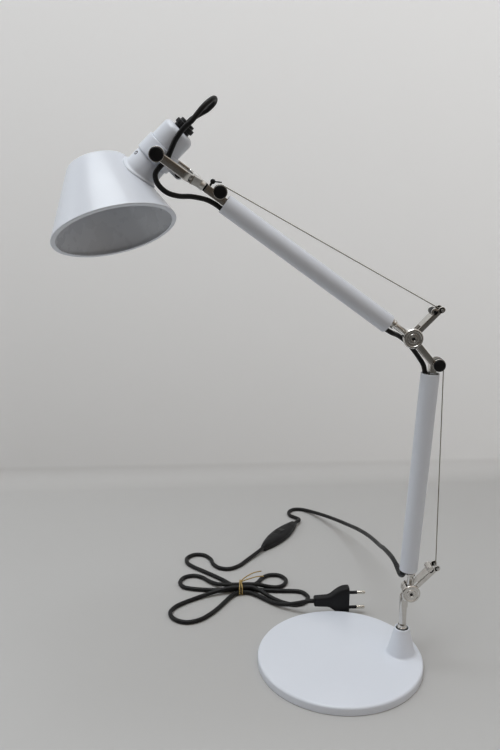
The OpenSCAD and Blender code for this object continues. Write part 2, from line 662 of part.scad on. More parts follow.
// Grooved pulley on a bolt along Y
groove_r = wire_r - wire_d / 2 - 0.15;
module pulley() {
    rim = wire_r + 0.5;
    half = cheek_in - side_gap;
    rotate([90, 0, 0]) rotate_extrude() polygon([[pulley_pin_d / 2 + run_gap, -half], [rim, -half],
        [rim, -1.5], [groove_r, -0.7],
        [groove_r, 0.7], [rim, 1.5], [rim, half], [pulley_pin_d / 2 + run_gap, half]]);
}
module pulley_caps() {
    cap_r = cap_d / 2;
    for (side = [90, -90]) rotate([side, 0, 0]) translate([0, 0, cheek_out + seat_gap]) rotate_extrude()
        polygon([[0, 0], [cap_r, 0], [cap_r, cap_t - 0.8], [cap_r - 0.8, cap_t], [0, cap_t]]);
    cross_rod(pulley_pin_d, -cheek_out - 1, cheek_out);
}
module at_lower_pulley() { lower_frame() translate([pulley_x, 0, lower_end + pulley_rise]) children(); }
module at_upper_pulley() { upper_frame() translate([pulley_x, 0, upper_end + pulley_rise]) children(); }
module lower_pulley() { color("gray") at_lower_pulley() pulley(); }
module lower_pulley_caps() { color("black") at_lower_pulley() pulley_caps(); }
module upper_pulley() { color("gray") at_upper_pulley() pulley(); }
module upper_pulley_caps() { color("black") at_upper_pulley() pulley_caps(); }

// Balance wire in its arm's frame: from a lever's anchor, over the pulley, to the spring
function wire_path(lever_angle, end) =
    let (
        along = lever_l - wire_pin_in,
        start = along * [cos(lever_angle), sin(lever_angle)]
            - wire_pin_down * [-sin(lever_angle), cos(lever_angle)],
        top = [pulley_x, end + pulley_rise],
        d = top - start,
        dir = atan2(d[1], d[0]) - asin(wire_r / norm(d)),
        from = start + (wire_pin_d / 2 + 0.15) * [cos(dir), sin(dir)],
        touch = top + wire_r * [cos(dir - 90), sin(dir - 90)],
        steps = 8
    )
    concat(
        [for (u = [0, 0.04, 0.12, 0.25, 0.5, 0.75, 0.95]) from + u * (touch - from)],
        [for (i = [0:steps]) let (a = (dir - 90) + (270 - dir) * i / steps)
            top + wire_r * [cos(a), sin(a)]],
        [[-tube_off, end - 4], [-tube_off, end - plug_in - plug_l - 5 + seat_gap]]
    );
module wire(lever_angle, end) { sweep([for (p = wire_path(lever_angle, end)) [p[0], 0, p[1]]], wire_d, 8); }
module lower_wire() { color("silver") lower_frame() wire(base_lever_angle + lower_lean, lower_end); }
module upper_wire() { color("silver") upper_frame() wire(elbow_lever_angle + elbow_fold, upper_end); }
stop_x = leg_x + leg_w / 2;
module wire_stop() {
    color("black") upper_frame() translate([stop_x, 0, swivel_z - 1.6]) {
        translate([seat_gap, 0, 0]) rotate([0, 90, 0]) cylinder(d = 2, h = 4.5);
        translate([4.5, 0, 0]) sphere(d = 4.6, $fn = 32);
        translate([4.5, 0, 0]) rotate([0, 150, 0]) cylinder(d = 1.2, h = 8);
    }
}

// Fork
function fork_side(inner, u) =
    let (s = u * u * (3 - 2 * u)) inner + (fork_half + (inner < 3 ? 0 : fork_t) - inner) * s;
module fork_outline() {
    steps = 12;
    inner_z = fork_flare_z + fork_crotch;
    outer = [for (i = [0:steps])
        [fork_side(fork_root_d / 2, i / steps), fork_flare_z + fork_flare_l * i / steps]];
    inner = [for (i = [0:steps]) [fork_side(0.01, i / steps), inner_z + fork_flare_l * i / steps]];
    top = upper_reach;
    half = concat([[0, fork_flare_z]], outer, [[fork_half + fork_t, top], [fork_half, top]],
        [for (i = [steps:-1:0]) inner[i]]);
    polygon(half);
    mirror([1, 0]) polygon(half);
}
module fork() {
    color("silver") fork_frame() difference() {
        union() {
            translate([fork_w / 2, 0, 0]) rotate([90, 0, -90]) linear_extrude(fork_w) fork_outline();
            translate([0, 0, fork_root_z]) cylinder(d1 = fork_root_d - 1, d2 = fork_root_d, h = 1);
            translate([0, 0, fork_root_z + 1]) cylinder(d = fork_root_d, h = fork_root_l + 1);
            translate([0, 0, swivel_z - swivel_block]) cylinder(d = swivel_pin_d, h = swivel_block + 4);
            for (side = [0, 180]) rotate(side) translate([0, 0, upper_reach])
                cross_rod(fork_eye_d, fork_half, fork_half + fork_t);
        }
        translate([0, 0, upper_reach]) rotate([90, 0, 0]) drill(fork_pin_d + 2 * seat_gap, 4 * fork_half);
    }
}
module swivel_washer() {
    color("black") upper_frame() translate([swivel_x, 0, swivel_z + washer_gap]) difference() {
        cylinder(d = fork_root_d - 1.4, h = washer_t);
        drill(swivel_pin_d + 2 * run_gap, 6 * washer_t);
    }
}
trunnion = fork_half - side_gap;
module fork_pins() {
    color("silver") fork_frame() translate([0, 0, upper_reach]) for (side = [0, 180]) rotate(side)
        cross_rod(fork_pin_d, ring_bore / 2 + 0.4, fork_half + fork_t - seat_gap);
}
module fork_caps() {
    cap_r = fork_eye_d / 2 - 0.5;
    color("black") fork_frame() translate([0, 0, upper_reach]) for (side = [90, -90]) rotate([side, 0, 0])
        translate([0, 0, fork_half + fork_t + seat_gap]) rotate_extrude()
            polygon([[0, 0], [cap_r, 0], [cap_r, fork_cap_t - 0.8], [cap_r - 0.8, fork_cap_t],
                [0, fork_cap_t]]);
}

// Head
module head_ring() {
    color("white") head_frame() difference() {
        union() {
            translate([0, 0, -half_ring]) cylinder(d = ring_d, h = ring_l);
            for (side = [0, 180]) rotate(side) cross_rod(fork_eye_d, ring_bore / 2, trunnion);
            translate([ring_d / 2 - 3, -4, -ear_d / 2]) cube([ear_x - ring_d / 2 + 3, 8, ear_d]);
            translate([ear_x, 0, 0]) cross_rod(ear_d, -4, 4);
        }
        drill(ring_bore + 2 * run_gap, 2 * ring_l);
        rotate([90, 0, 0]) drill(fork_pin_d + 2 * run_gap, 4 * fork_half);
        translate([ear_x, 0, 0]) cross_drill(4 + 2 * seat_gap);
    }
}
module ring_screw() {
    color("dimgray") head_frame() translate([ear_x, 0, 0]) {
        cross_rod(4, -4.2, 4);
        cross_rod(6.4, -5.6, -4 - seat_gap);
    }
}
rear_z = half_ring + rear_l;
module rear_cap() {
    r = rear_d / 2;
    color("white") head_frame() difference() {
        rotate_extrude() {
            translate([0, half_ring + seat_gap]) square([r, rear_l - rear_edge - seat_gap]);
            translate([0, half_ring + seat_gap]) square([r - rear_edge, rear_l - seat_gap]);
            translate([r - rear_edge, rear_z - rear_edge]) circle(rear_edge);
            translate([0, half_ring - spigot_l]) square([ring_bore / 2 - seat_gap, spigot_l + 1]);
        }
        translate([0, 0, half_ring - spigot_l - 1]) cylinder(d = ring_bore - 2 * rear_wall,
            h = spigot_l + rear_l - rear_wall);
        drill(10 + 2 * seat_gap, 4 * rear_z);
    }
}
module cord_gland() {
    r = gland_d / 2;
    color("black") head_frame() difference() {
        union() {
            translate([0, 0, rear_z + seat_gap]) rotate_extrude() polygon([[0, 0], [r - 1.5, 0],
                [r - 1.5, 2], [r, 2.4], [r, gland_h - 1.5],
                [r - 1.5, gland_h], [0, gland_h]]);
            translate([0, 0, rear_z - rear_wall - 1.5]) cylinder(d = 10, h = rear_wall + 3);
        }
        drill(arm_cord_d + 2 * soft_gap, 4 * rear_z + 2 * gland_h);
    }
}
holder_flange = half_ring - spigot_l - seat_gap;
module lampholder() {
    color("gainsboro") head_frame() difference() {
        union() {
            translate([0, 0, -holder_flange]) cylinder(d = ring_bore - 2 * run_gap, h = 2 * holder_flange);
            translate([0, 0, -holder_tip]) cylinder(d = holder_d, h = holder_tip);
            cylinder(d = 14, h = half_ring + 2);
        }
        translate([0, 0, -holder_tip - 1]) cylinder(d = bulb_d + 2 * soft_gap, h = 11);
    }
}
module bulb() {
    color("lightyellow") head_frame() translate([0, 0, -holder_tip + 9.8]) rotate([180, 0, 0])
        rotate_extrude() {
        square([bulb_d / 2 - 1, 9]);
        translate([0, 8]) square([bulb_d / 2, bulb_l - 8 - bulb_d / 2]);
        intersection() {
            translate([0, bulb_l - bulb_d / 2]) circle(bulb_d / 2);
            square([bulb_d, bulb_l]);
        }
    }
}

// Shade, standing on its mouth with its axis on Z
module shade_outside(grow) {
    a = slope;
    e = grow / cos(a);
    rotate_extrude($fn = 128) polygon([[0, 0], [mouth_d / 2 + e, 0], [crown_d / 2 + e, shade_h],
        [0, shade_h]]);
}
// Puts the standing shade into the shade frame: its slanted wall lies on the neck
module on_neck() {
    translate([-crown_back, 0, -neck_reach]) rotate([0, slope - 90, 0])
        translate([-crown_d / 2, 0, -shade_h]) children();
}
module shade() {
    r0 = mouth_d / 2;
    r1 = crown_d / 2;
    wall = shade_t / cos(slope);
    shoulder = r1 + (r0 - r1) * crown_edge / shade_h;
    color("white") shade_frame() difference() {
        on_neck() rotate_extrude($fn = 128) {
            polygon([[r0 - wall, 0], [r0, 0], [shoulder, shade_h - crown_edge], [r1 - 1.2, shade_h - 1],
                [r1 - crown_edge, shade_h], [0, shade_h], [0, shade_h - shade_t],
                [r1 - crown_edge - 0.5, shade_h - shade_t], [shoulder - wall, shade_h - crown_edge - 0.5]]);
            translate([r0 - wall / 2, rim_r]) circle(rim_r);
            translate([r0 - wall - lip_w, 0]) square([lip_w + wall, shade_t]);
        }
        translate([0, 0, -neck_reach]) drill(neck_bore, 2 * neck_reach);
    }
}
module shade_neck() {
    r = rear_d / 2;
    color("white") shade_frame() difference() {
        rotate_extrude() {
            translate([0, -half_ring - neck_gap]) square([ring_bore / 2 - run_gap, spigot_l - 0.4]);
            polygon([[0, -neck_reach - 8], [flange_d / 2, -neck_reach - 8],
                [flange_d / 2, -neck_reach + flange_t], [r + 1, -neck_reach + flange_t],
                [r, -half_ring - neck_gap - 1], [r - 0.6, -half_ring - neck_gap],
                    [0, -half_ring - neck_gap]]);
        }
        drill(neck_bore, 4 * neck_reach);
        on_neck() shade_outside(seat_gap);
        rotate(screw_turn) translate([-r + 1.5, 0, -half_ring - screw_drop]) rotate([0, -90, 0])
            cylinder(d = 4 + 2 * seat_gap, h = 6);
    }
}
module neck_screw() {
    r = rear_d / 2;
    color("dimgray") shade_frame() rotate(screw_turn) translate([-r + 1.5 - seat_gap, 0, -half_ring - screw_drop])
        rotate([0, -90, 0]) cylinder(d = 4, h = 1.2);
}

// A path with both its ends drawn back, so that cords which follow each other don't touch
function drawn_back(p) = let (n = len(p) - 1) [for (i = [0:n])
    i == 0 ? p[0] + soft_gap * unit(p[1] - p[0]) : i == n ? p[n] + soft_gap * unit(p[n - 1] - p[n]) : p[i]];
module cord(p, d, sides) { color("black") sweep(drawn_back(smooth(p, 3)), d, sides); }

// Cord in the arms and at the head
module elbow_cord() {
    cord(concat([lower_point(cord_x, 0, lower_end + slant_gap)],
        [for (p = elbow_route) lower_point(elbow_x + p[0], p[1], elbow_z + p[2])],
        [upper_point(cord_x, 0, upper_foot_l - slant_gap)]), arm_cord_d, 10);
}
module head_cord() {
    cord(concat([upper_point(cord_x, 0, upper_end), upper_point(cord_x, 0, upper_end + 7)],
        [for (p = head_route) upper_point(p[0], p[1], swivel_z + p[2])],
            [fork_point(fork_hold)]), arm_cord_d, 10);
}
module gland_cord() {
    top = rear_z + gland_h;
    cord(concat([fork_point(fork_hold)], [for (p = gland_route) fork_point(p)],
        [head_point([0, 0, top + 4]), head_point([0, 0, top - 3])]), arm_cord_d, 10);
}

// Mains cord on the table
lead_from = lower_point(relief_route[3][0], relief_route[3][1], relief_route[3][2]);
module cord_relief() {
    path = drawn_back(smooth(concat([lower_point(cord_x, 0, lower_foot_l),
        lower_point(cord_x, 0, lower_foot_l - 3)],
        [for (p = relief_route) lower_point(p[0], p[1], p[2])]), 3));
    n = len(path) - 1;
    color("black") sweep(path, [for (i = [0:n]) relief_d + (cord_d + 0.4 - relief_d) * i / n], 10);
}
module cord_lead() {
    end = switch_at + turned_z([switch_l / 2, 0, switch_split], switch_angle);
    cord(concat([lead_from], lead_route, [end + turned_z([4, 0, 0], switch_angle), end]), cord_d, 8);
}
module cord_run() {
    start = switch_at + turned_z([-switch_l / 2, 0, switch_split], switch_angle);
    cord(concat([start, start + turned_z([-6, 0, -0.6], switch_angle)], run_route,
        [hank_start]), cord_d, 8);
}
module cord_tail() {
    end = plug_at + [-plug_neck_l, 0, plug_w / 2];
    cord(concat([hank_end], tail_route, [end - [4, 0, 0], end]), cord_d, 8);
}
hank_start = hank_route[0];
hank_end = hank_route[len(hank_route) - 1];
hank_path = smooth(hank_route, 3);
function to_segment(p, a, b) =
    let (u = min(max((p - a) * (b - a) / ((b - a) * (b - a)), 0), 1)) norm(p - a - u * (b - a));
hank_gap = min([for (i = [0:len(hank_path) - 1], j = [i + 8:len(hank_path) - 2]) if (j > i)
    to_segment(hank_path[i], hank_path[j], hank_path[j + 1])]) - cord_d;
echo(hank_gap = hank_gap);
module cord_hank() { color("black") sweep(hank_path, cord_d, 6); }
// Band round the waist of the hank, with two twisted ends
module cord_tie() {
    end_d = 1.4;
    color("goldenrod") translate(tie_at) {
        translate([-tie_w / 2, 0, 0]) rotate([90, 0, 90]) linear_extrude(tie_w) difference() {
            translate([-tie_half - tie_t, 0]) square([2 * (tie_half + tie_t), tie_top + tie_t]);
            translate([-tie_half, tie_t]) square([2 * tie_half, tie_top - tie_t]);
        }
        sweep(smooth([[0, 3, tie_top + 0.2], [3, 5, tie_top + 3], [9, 8, tie_top + 6],
            [17, 10.5, tie_top + 8.5],
            [26, 12, tie_top + 9.5]], 3), end_d, 8);
        sweep(smooth([[0, 2, tie_top + 0.2], [4, 2.5, tie_top + 2.6], [12, 3, tie_top + 5],
            [20, 3.5, tie_top + 6.8],
            [28, 3, tie_top + 7.5]], 3), end_d, 8);
    }
}
// Inline switch: leaf-shaped halves on the table and a rocker
switch_split = switch_h * 0.42;
module leaf(l, w) {
    r = (l * l + w * w) / (4 * w);
    intersection() {
        translate([0, w / 2 - r]) circle(r, $fn = 180);
        translate([0, r - w / 2]) circle(r, $fn = 180);
        square([switch_l, w], center = true);
    }
}
leaf_l = switch_l + 12;
module switch_base() {
    color("black") switch_frame() {
        linear_extrude(1.5) leaf(leaf_l - 4, switch_w - 3);
        translate([0, 0, 1.5]) linear_extrude(switch_split - 1.5) leaf(leaf_l, switch_w);
    }
}
module switch_cover() {
    color("black") switch_frame() difference() {
        union() {
            translate([0, 0, switch_split + seat_gap]) linear_extrude(switch_h * 0.62 - switch_split)
                leaf(leaf_l, switch_w);
            translate([0, 0, switch_h * 0.62]) linear_extrude(switch_h * 0.2)
                leaf(leaf_l - 8, switch_w - 3);
            translate([0, 0, switch_h * 0.8]) linear_extrude(switch_h * 0.12)
                leaf(leaf_l - 20, switch_w - 7);
        }
        translate([-rocker_l / 2 - soft_gap, -rocker_w / 2 - soft_gap, switch_h * 0.5])
            cube([rocker_l + 2 * soft_gap, rocker_w + 2 * soft_gap, switch_h]);
    }
}
rocker_z = switch_h * 0.78;
module switch_rocker() {
    color("black") switch_frame() translate([0, 0, rocker_z]) intersection() {
        plate(-rocker_w / 2, rocker_w / 2)
            polygon([[-rocker_l / 2, -1.6], [rocker_l / 2, -1.6], [rocker_l / 2, 1.6], [0, 3],
                [-rocker_l / 2, 1.6]]);
        rotate([90, 0, 0]) drill(rocker_l, 2 * rocker_w);
    }
}
// Flat two-pin plug, standing on its narrow edge, with its pins along +X
module plug() {
    c = plug_w / 2;
    neck = [[-plug_neck_l, 4.6], [-plug_neck_l + 1, 5.6], [1, 6.2], [5, 7.8]];
    flare = [[3, 6.8], [5, 7.8], [9.5, 11.4], [14, 14.8], [18.5, c - 0.8], [22, c], [plug_body_l - 1, c],
        [plug_body_l, c - 1]];
    color("black") translate(plug_at + [0, 0, c]) {
        plate(-5, 5) polygon(concat(neck, [for (i = [len(neck) - 1:-1:0]) [neck[i][0], -neck[i][1]]]));
        plate(-plug_t / 2, plug_t / 2) polygon(concat(flare,
            [for (i = [len(flare) - 1:-1:0]) [flare[i][0], -flare[i][1]]]));
        for (side = [-1, 1]) translate([plug_body_l - 1, 0, side * plug_pin_pitch / 2]) rotate([0, 90, 0]) {
            cylinder(d = plug_pin_d, h = plug_pin_l);
            translate([0, 0, plug_pin_l]) cylinder(d1 = plug_pin_d, d2 = plug_pin_d - 1.4, h = 1);
        }
    }
}

base_cover();
base_weight();
base_pad();
base_screws();
stem_bush();
stem_rod();
stem_clevis();
base_lever();
base_anchor();
lower_axle();
lower_discs();
lower_foot();
lower_tube();
lower_plugs();
elbow_bracket();
lower_pulley();
lower_pulley_caps();
lower_spring();
elbow_lever();
elbow_anchor();
elbow_axle();
elbow_discs();
lower_tube_cord();
upper_foot();
upper_tube();
upper_plugs();
head_bracket();
upper_pulley();
upper_pulley_caps();
upper_spring();
wire_stop();
upper_tube_cord();
fork();
swivel_washer();
fork_pins();
fork_caps();
head_ring();
ring_screw();
rear_cap();
cord_gland();
lampholder();
bulb();
shade();
shade_neck();
neck_screw();
lower_wire();
upper_wire();
elbow_cord();
head_cord();
gland_cord();
cord_relief();
cord_lead();
switch_base();
switch_cover();
switch_rocker();
cord_run();
cord_hank();
cord_tie();
cord_tail();
plug();
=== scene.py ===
"""Dresses a white desk lamp with two wire-balanced arms: its forms, finishes, cords, light and camera.

All sizes are in millimetres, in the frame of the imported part: origin under the middle of the base,
+X to the stem, +Y away from the viewer, +Z up. Meshes are written in metres.
"""
import logging
import math
from dataclasses import dataclass, field
from enum import Enum
from typing import Optional, Sequence

import bmesh
import bpy
import numpy as np
from mathutils import Matrix, Vector


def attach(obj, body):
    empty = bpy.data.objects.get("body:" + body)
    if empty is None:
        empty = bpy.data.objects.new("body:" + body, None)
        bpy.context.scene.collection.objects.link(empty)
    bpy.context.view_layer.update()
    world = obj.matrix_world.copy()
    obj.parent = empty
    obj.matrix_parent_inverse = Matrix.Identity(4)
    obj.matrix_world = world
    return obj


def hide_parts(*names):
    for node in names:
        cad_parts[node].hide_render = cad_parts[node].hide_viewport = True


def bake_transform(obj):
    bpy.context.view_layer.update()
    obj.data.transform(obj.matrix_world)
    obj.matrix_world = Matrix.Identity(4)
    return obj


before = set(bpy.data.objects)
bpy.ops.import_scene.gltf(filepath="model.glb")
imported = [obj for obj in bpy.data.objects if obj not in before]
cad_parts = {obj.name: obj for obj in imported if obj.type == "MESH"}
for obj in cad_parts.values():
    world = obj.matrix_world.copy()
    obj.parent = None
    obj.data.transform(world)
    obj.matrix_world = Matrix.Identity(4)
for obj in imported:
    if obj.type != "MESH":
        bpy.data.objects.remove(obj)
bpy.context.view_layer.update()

Array = np.ndarray
Colour = tuple[float, float, float]
Material = bpy.types.Material
Piece = bpy.types.Object
Point = tuple[float, float, float]
Socket = bpy.types.NodeSocket
Span = tuple[float, float]
MM = 0.001
FULL_TURN = 2 * math.pi
SHARP_EDGE = 38.0
LOG = logging.getLogger("lamp")


class Plane(Enum):
    """The plane in which a flat strip is drawn."""

    SIDE = "drawn in XZ, thick along Y"
    FRONT = "drawn in YZ, thick along X"


@dataclass(frozen=True)
class Place:
    """A place and turn in the part's frame, as a 4 by 4 matrix in millimetres."""

    matrix: Array

    def moved(self, x: float, y: float, z: float) -> "Place":
        """This place shifted along its own axes."""
        step = np.eye(4)
        step[:3, 3] = (x, y, z)
        return Place(self.matrix @ step)

    def turned(self, axis: str, degrees: float) -> "Place":
        """This place turned about one of its own axes, by the right-hand rule."""
        return Place(self.matrix @ np.array(Matrix.Rotation(math.radians(degrees), 4, axis.upper())))

    def points(self, local: Array) -> Array:
        """Points of this place's own frame, in the part's frame.

        Args:
            local: points with three numbers on the last axis.

        Returns:
            The same points in the part's frame.
        """
        return np.asarray(local, float) @ self.matrix[:3, :3].T + self.matrix[:3, 3]


# Pivots of the lamp, each in the frame of the piece before it
LOWER_PIVOT = (69.0, 0.0, 81.0)
ELBOW_PIVOT = (-25.0, 0.0, 262.0)
FORK_AXIS = -1.5
SWIVEL = 233.5
HEAD_PIVOT = 283.5

# Turns in the photographed pose, in degrees
LOWER_LEAN = 2.8
UPPER_LEAN = -57.0
FORK_TURN = -4.0
HEAD_TURN = 100.0
SHADE_TURN = -29.0
SWITCH_TURN = 54.8

# Sizes that several groups share
LOWER_FOOT, LOWER_END = 22.5, 228.0
UPPER_FOOT, UPPER_END = 25.5, 212.5
PULLEY_X, PULLEY_RISE = 3.0, 9.0
ARM_CORD_X = -8.2
CORD_SIDES = 18
CHEEKS = ((3.35, 4.85), (-4.85, -3.35))
WEB = (-4.8, 4.8)
PIVOT_EYE = 7.0
SQUARE_ENDS = (0.1, 0.1)

WORLD = Place(np.eye(4))
STAND = WORLD.moved(*LOWER_PIVOT)
LOWER = STAND.turned("y", LOWER_LEAN)
ELBOW = LOWER.moved(*ELBOW_PIVOT)
UPPER = ELBOW.turned("y", UPPER_LEAN)
FORK_STAND = UPPER.moved(FORK_AXIS, 0, 0)
FORK = FORK_STAND.turned("z", FORK_TURN)
FORK_EYES = FORK.moved(0, 0, HEAD_PIVOT)
HEAD = FORK_EYES.turned("y", HEAD_TURN)
SHADE = HEAD.turned("z", SHADE_TURN)
SWITCH = WORLD.moved(-34, 288, 0).turned("z", SWITCH_TURN)


@dataclass
class Shape:
    """A net of four-sided faces with a texture place for each corner and a finish number for each face."""

    points: Array
    quads: Array
    corners: Array
    finish: Array

    def at(self, place: Place) -> "Shape":
        """This shape carried into the part's frame."""
        return Shape(place.points(self.points), self.quads, self.corners, self.finish)

    def finished(self, number: int) -> "Shape":
        """This shape with another finish number on all its faces."""
        return Shape(self.points, self.quads, self.corners, np.full(len(self.quads), number))


def lengths(points: Array) -> Array:
    """Distance along a chain of points from its first one, to each of them."""
    return np.concatenate([[0.0], np.cumsum(np.linalg.norm(np.diff(points, axis=0), axis=-1))])


def net(grid: Array, wrap_rows: bool = False, wrap_columns: bool = True) -> Shape:
    """Joins a grid of points into faces.

    A face takes the four corners (i, j), (i, j+1), (i+1, j+1), (i+1, j); a wrapped side joins its last
    line to its first. Texture places are the distance along the rows and the share of the way round.

    Args:
        grid: points, rows by columns by 3.
        wrap_rows: whether the last row joins the first.
        wrap_columns: whether the last column joins the first.

    Returns:
        The net as a shape with finish 0.
    """
    rows, columns = grid.shape[:2]
    row_steps, column_steps = np.arange(rows - (not wrap_rows)), np.arange(columns - (not wrap_columns))
    i, j = (steps.ravel() for steps in np.meshgrid(row_steps, column_steps, indexing="ij"))
    i1, j1 = (i + 1) % rows, (j + 1) % columns
    quads = np.stack([i * columns + j, i * columns + j1, i1 * columns + j1, i1 * columns + j], axis=1)
    along = lengths(grid.mean(axis=1)) + 1e-6 * np.arange(rows)
    along = np.append(along, along[-1] + 1)
    around = np.arange(columns + 1) / columns
    pick = [(i, j), (i, j + 1), (i + 1, j + 1), (i + 1, j)]
    corners = np.stack([np.stack([around[b], along[a] * MM], axis=1) for a, b in pick], axis=1)
    return Shape(grid.reshape(-1, 3), quads, corners, np.zeros(len(quads), int))


def rounded(points: Sequence[Sequence[float]], radii: Sequence[float] | float, steps: int = 5,
            closed: bool = False) -> Array:
    """Rounds the corners of a line of points.

    Each corner becomes a circle's arc, written as a rational curve of three control points: the corner
    and the two places where the arc meets its sides.

    Args:
        points: corners, in two or three dimensions.
        radii: radius of each corner, or one for all.
        steps: points in each arc, less one.
        closed: whether the line runs back to its start.

    Returns:
        Points of the rounded line.
    """
    p = np.asarray(points, float)
    r = np.broadcast_to(np.asarray(radii, float), len(p)).copy()
    before, after = np.roll(p, 1, axis=0) - p, np.roll(p, -1, axis=0) - p
    if not closed:
        before[0], after[-1] = -after[0], -before[-1]
        r[[0, -1]] = 0
    la, lb = np.linalg.norm(before, axis=1), np.linalg.norm(after, axis=1)
    ua, ub = before / la[:, None], after / lb[:, None]
    half = 0.5 * np.arccos(np.clip((ua * ub).sum(axis=1), -1, 1))
    cut = np.minimum(r / np.maximum(np.tan(half), 1e-6), 0.49 * np.minimum(la, lb))
    weight = np.sin(half)[:, None, None]
    t = np.linspace(0, 1, steps + 1)[None, :, None]
    a, b = (p + ua * cut[:, None])[:, None], (p + ub * cut[:, None])[:, None]
    share_a, share_m, share_b = (1 - t) ** 2, 2 * t * (1 - t) * weight, t ** 2
    arc = (share_a * a + share_m * p[:, None] + share_b * b) / (share_a + share_m + share_b)
    line = arc.reshape(-1, p.shape[1])
    keep = np.linalg.norm(np.diff(line, axis=0, prepend=line[:1] - 1), axis=1) > 1e-5
    return line[keep]


def turned_body(profile: Array, sides: int = 96, closed: bool = False) -> Shape:
    """Turns a profile about Z.

    A point (r, z) of the profile goes to (r cos a, r sin a, z) for every angle a.

    Args:
        profile: radius and height of each point.
        sides: steps round the axis.
        closed: whether the profile runs back to its start, as on a ring.

    Returns:
        The turned surface.
    """
    a = np.linspace(0, FULL_TURN, sides, endpoint=False)
    r, z = profile[:, :1], profile[:, 1:]
    grid = np.stack([r * np.cos(a), r * np.sin(a), z + 0 * a], axis=-1)
    return net(grid, wrap_rows=closed)


def strip(line: Array, half: float, eyes: Span, depth: Span, edge: float,
          plane: Plane = Plane.SIDE) -> Shape:
    """A flat strip along a line, with round eyes at its ends and softened edges.

    At distance s along the line the half width is the largest of the strip's own and of the eyes'
    sqrt(R^2 - s^2). A rounded rectangle of that width is carried along the line.

    Args:
        line: points of the middle line in the plane.
        half: half width of the strip.
        eyes: radius of the eye at the start and at the end.
        depth: lowest and highest place across the plane.
        edge: radius of the softened edges.
        plane: the plane in which the line is drawn.

    Returns:
        The closed strip.
    """
    reach = lengths(line)
    total = reach[-1]
    turn = np.linspace(0, np.pi / 2, 14)
    s = np.unique(np.concatenate([
        -eyes[0] * np.cos(turn), eyes[0] * np.cos(turn), reach, np.linspace(0, total, 40),
        total - eyes[1] * np.cos(turn), total + eyes[1] * np.sin(turn)]).round(6))
    s = s[(s >= -eyes[0]) & (s <= total + eyes[1])]
    body = np.where((s >= 0) & (s <= total), half, 0.0)
    start = np.sqrt(np.maximum(eyes[0] ** 2 - s ** 2, 0))
    end = np.sqrt(np.maximum(eyes[1] ** 2 - (s - total) ** 2, 0))
    width = np.maximum.reduce([body, start, end, np.full(len(s), 0.02)])
    first, last = (line[1] - line[0]), (line[-1] - line[-2])
    before = line[0] + s[:, None] * first / np.linalg.norm(first)
    beyond = line[-1] + (s - total)[:, None] * last / np.linalg.norm(last)
    middle = np.stack([np.interp(s, reach, line[:, k]) for k in (0, 1)], axis=1)
    middle = np.where((s < 0)[:, None], before, middle)
    middle = np.where((s > total)[:, None], beyond, middle)
    ahead = np.gradient(middle, s, axis=0)
    ahead /= np.linalg.norm(ahead, axis=1, keepdims=True)
    normal = np.stack([-ahead[:, 1], ahead[:, 0]], axis=1)
    deep = 0.5 * (depth[1] - depth[0])
    r = np.minimum(np.minimum(edge, 0.95 * width), 0.95 * deep)[:, None]
    corner = np.repeat(np.arange(4), 5) * np.pi / 2
    angle = corner + np.tile(np.linspace(0, np.pi / 2, 5), 4)
    sign_a, sign_d = np.sign(np.cos(corner + np.pi / 4)), np.sign(np.sin(corner + np.pi / 4))
    sideways = sign_a * (width[:, None] - r) + r * np.cos(angle)
    sunk = sign_d * (deep - r) + r * np.sin(angle) + 0.5 * (depth[0] + depth[1])
    flat = middle[:, None, :] + sideways[..., None] * normal[:, None, :]
    side_order, front_order = (flat[..., 0], sunk, flat[..., 1]), (sunk, flat[..., 0], flat[..., 1])
    grid = np.stack(side_order if plane is Plane.SIDE else front_order, axis=-1)
    return net(closed_ends(grid))


def closed_ends(grid: Array) -> Array:
    """Adds a row in the middle of each end of a grid, so that the ends close."""
    first = np.broadcast_to(grid[:1].mean(axis=1, keepdims=True), grid[:1].shape)
    last = np.broadcast_to(grid[-1:].mean(axis=1, keepdims=True), grid[-1:].shape)
    return np.concatenate([first, grid, last])


def smooth_line(points: Sequence[Sequence[float]], steps: int) -> Array:
    """A smooth curve through points.

    Between two of them it is a cubic whose slopes join the points' neighbours.

    Args:
        points: the points, in order.
        steps: steps between two points.

    Returns:
        Points of the curve.
    """
    p = np.asarray(points, float)
    a, b = np.vstack([p[:1], p[:-2]]), p[:-1]
    c, d = p[1:], np.vstack([p[2:], p[-1:]])
    u = (np.arange(steps) / steps)[None, :, None]
    a, b, c, d = a[:, None], b[:, None], c[:, None], d[:, None]
    square, cube = 2 * a - 5 * b + 4 * c - d, 3 * b - a - 3 * c + d
    curve = 0.5 * (2 * b + (c - a) * u + square * u ** 2 + cube * u ** 3)
    return np.vstack([curve.reshape(-1, 3), p[-1:]])


def round_tube(line: Array, diameter: float | Array, sides: int = 16) -> Shape:
    """A round tube along a line.

    Each station has a ring at right angles to the line; the ring's first direction is the one before it,
    laid square to the line again, so the tube doesn't twist.

    Args:
        line: stations.
        diameter: one diameter, or one for each station.
        sides: sides of the ring.

    Returns:
        The tube with closed ends.
    """
    ahead = np.gradient(line, axis=0)
    ahead /= np.linalg.norm(ahead, axis=1, keepdims=True)
    side = np.zeros_like(ahead)
    guide = np.eye(3)[np.argmin(np.abs(ahead[0]))]
    for k, way in enumerate(ahead):
        guide = guide - way * (guide @ way)
        guide = guide / np.linalg.norm(guide)
        side[k] = guide
    other = np.cross(ahead, side)
    a = np.linspace(0, FULL_TURN, sides, endpoint=False)
    r = np.broadcast_to(np.asarray(diameter, float) / 2, len(line))[:, None, None]
    grid = line[:, None] + r * (np.cos(a)[:, None] * side[:, None] + np.sin(a)[:, None] * other[:, None])
    return net(closed_ends(grid))


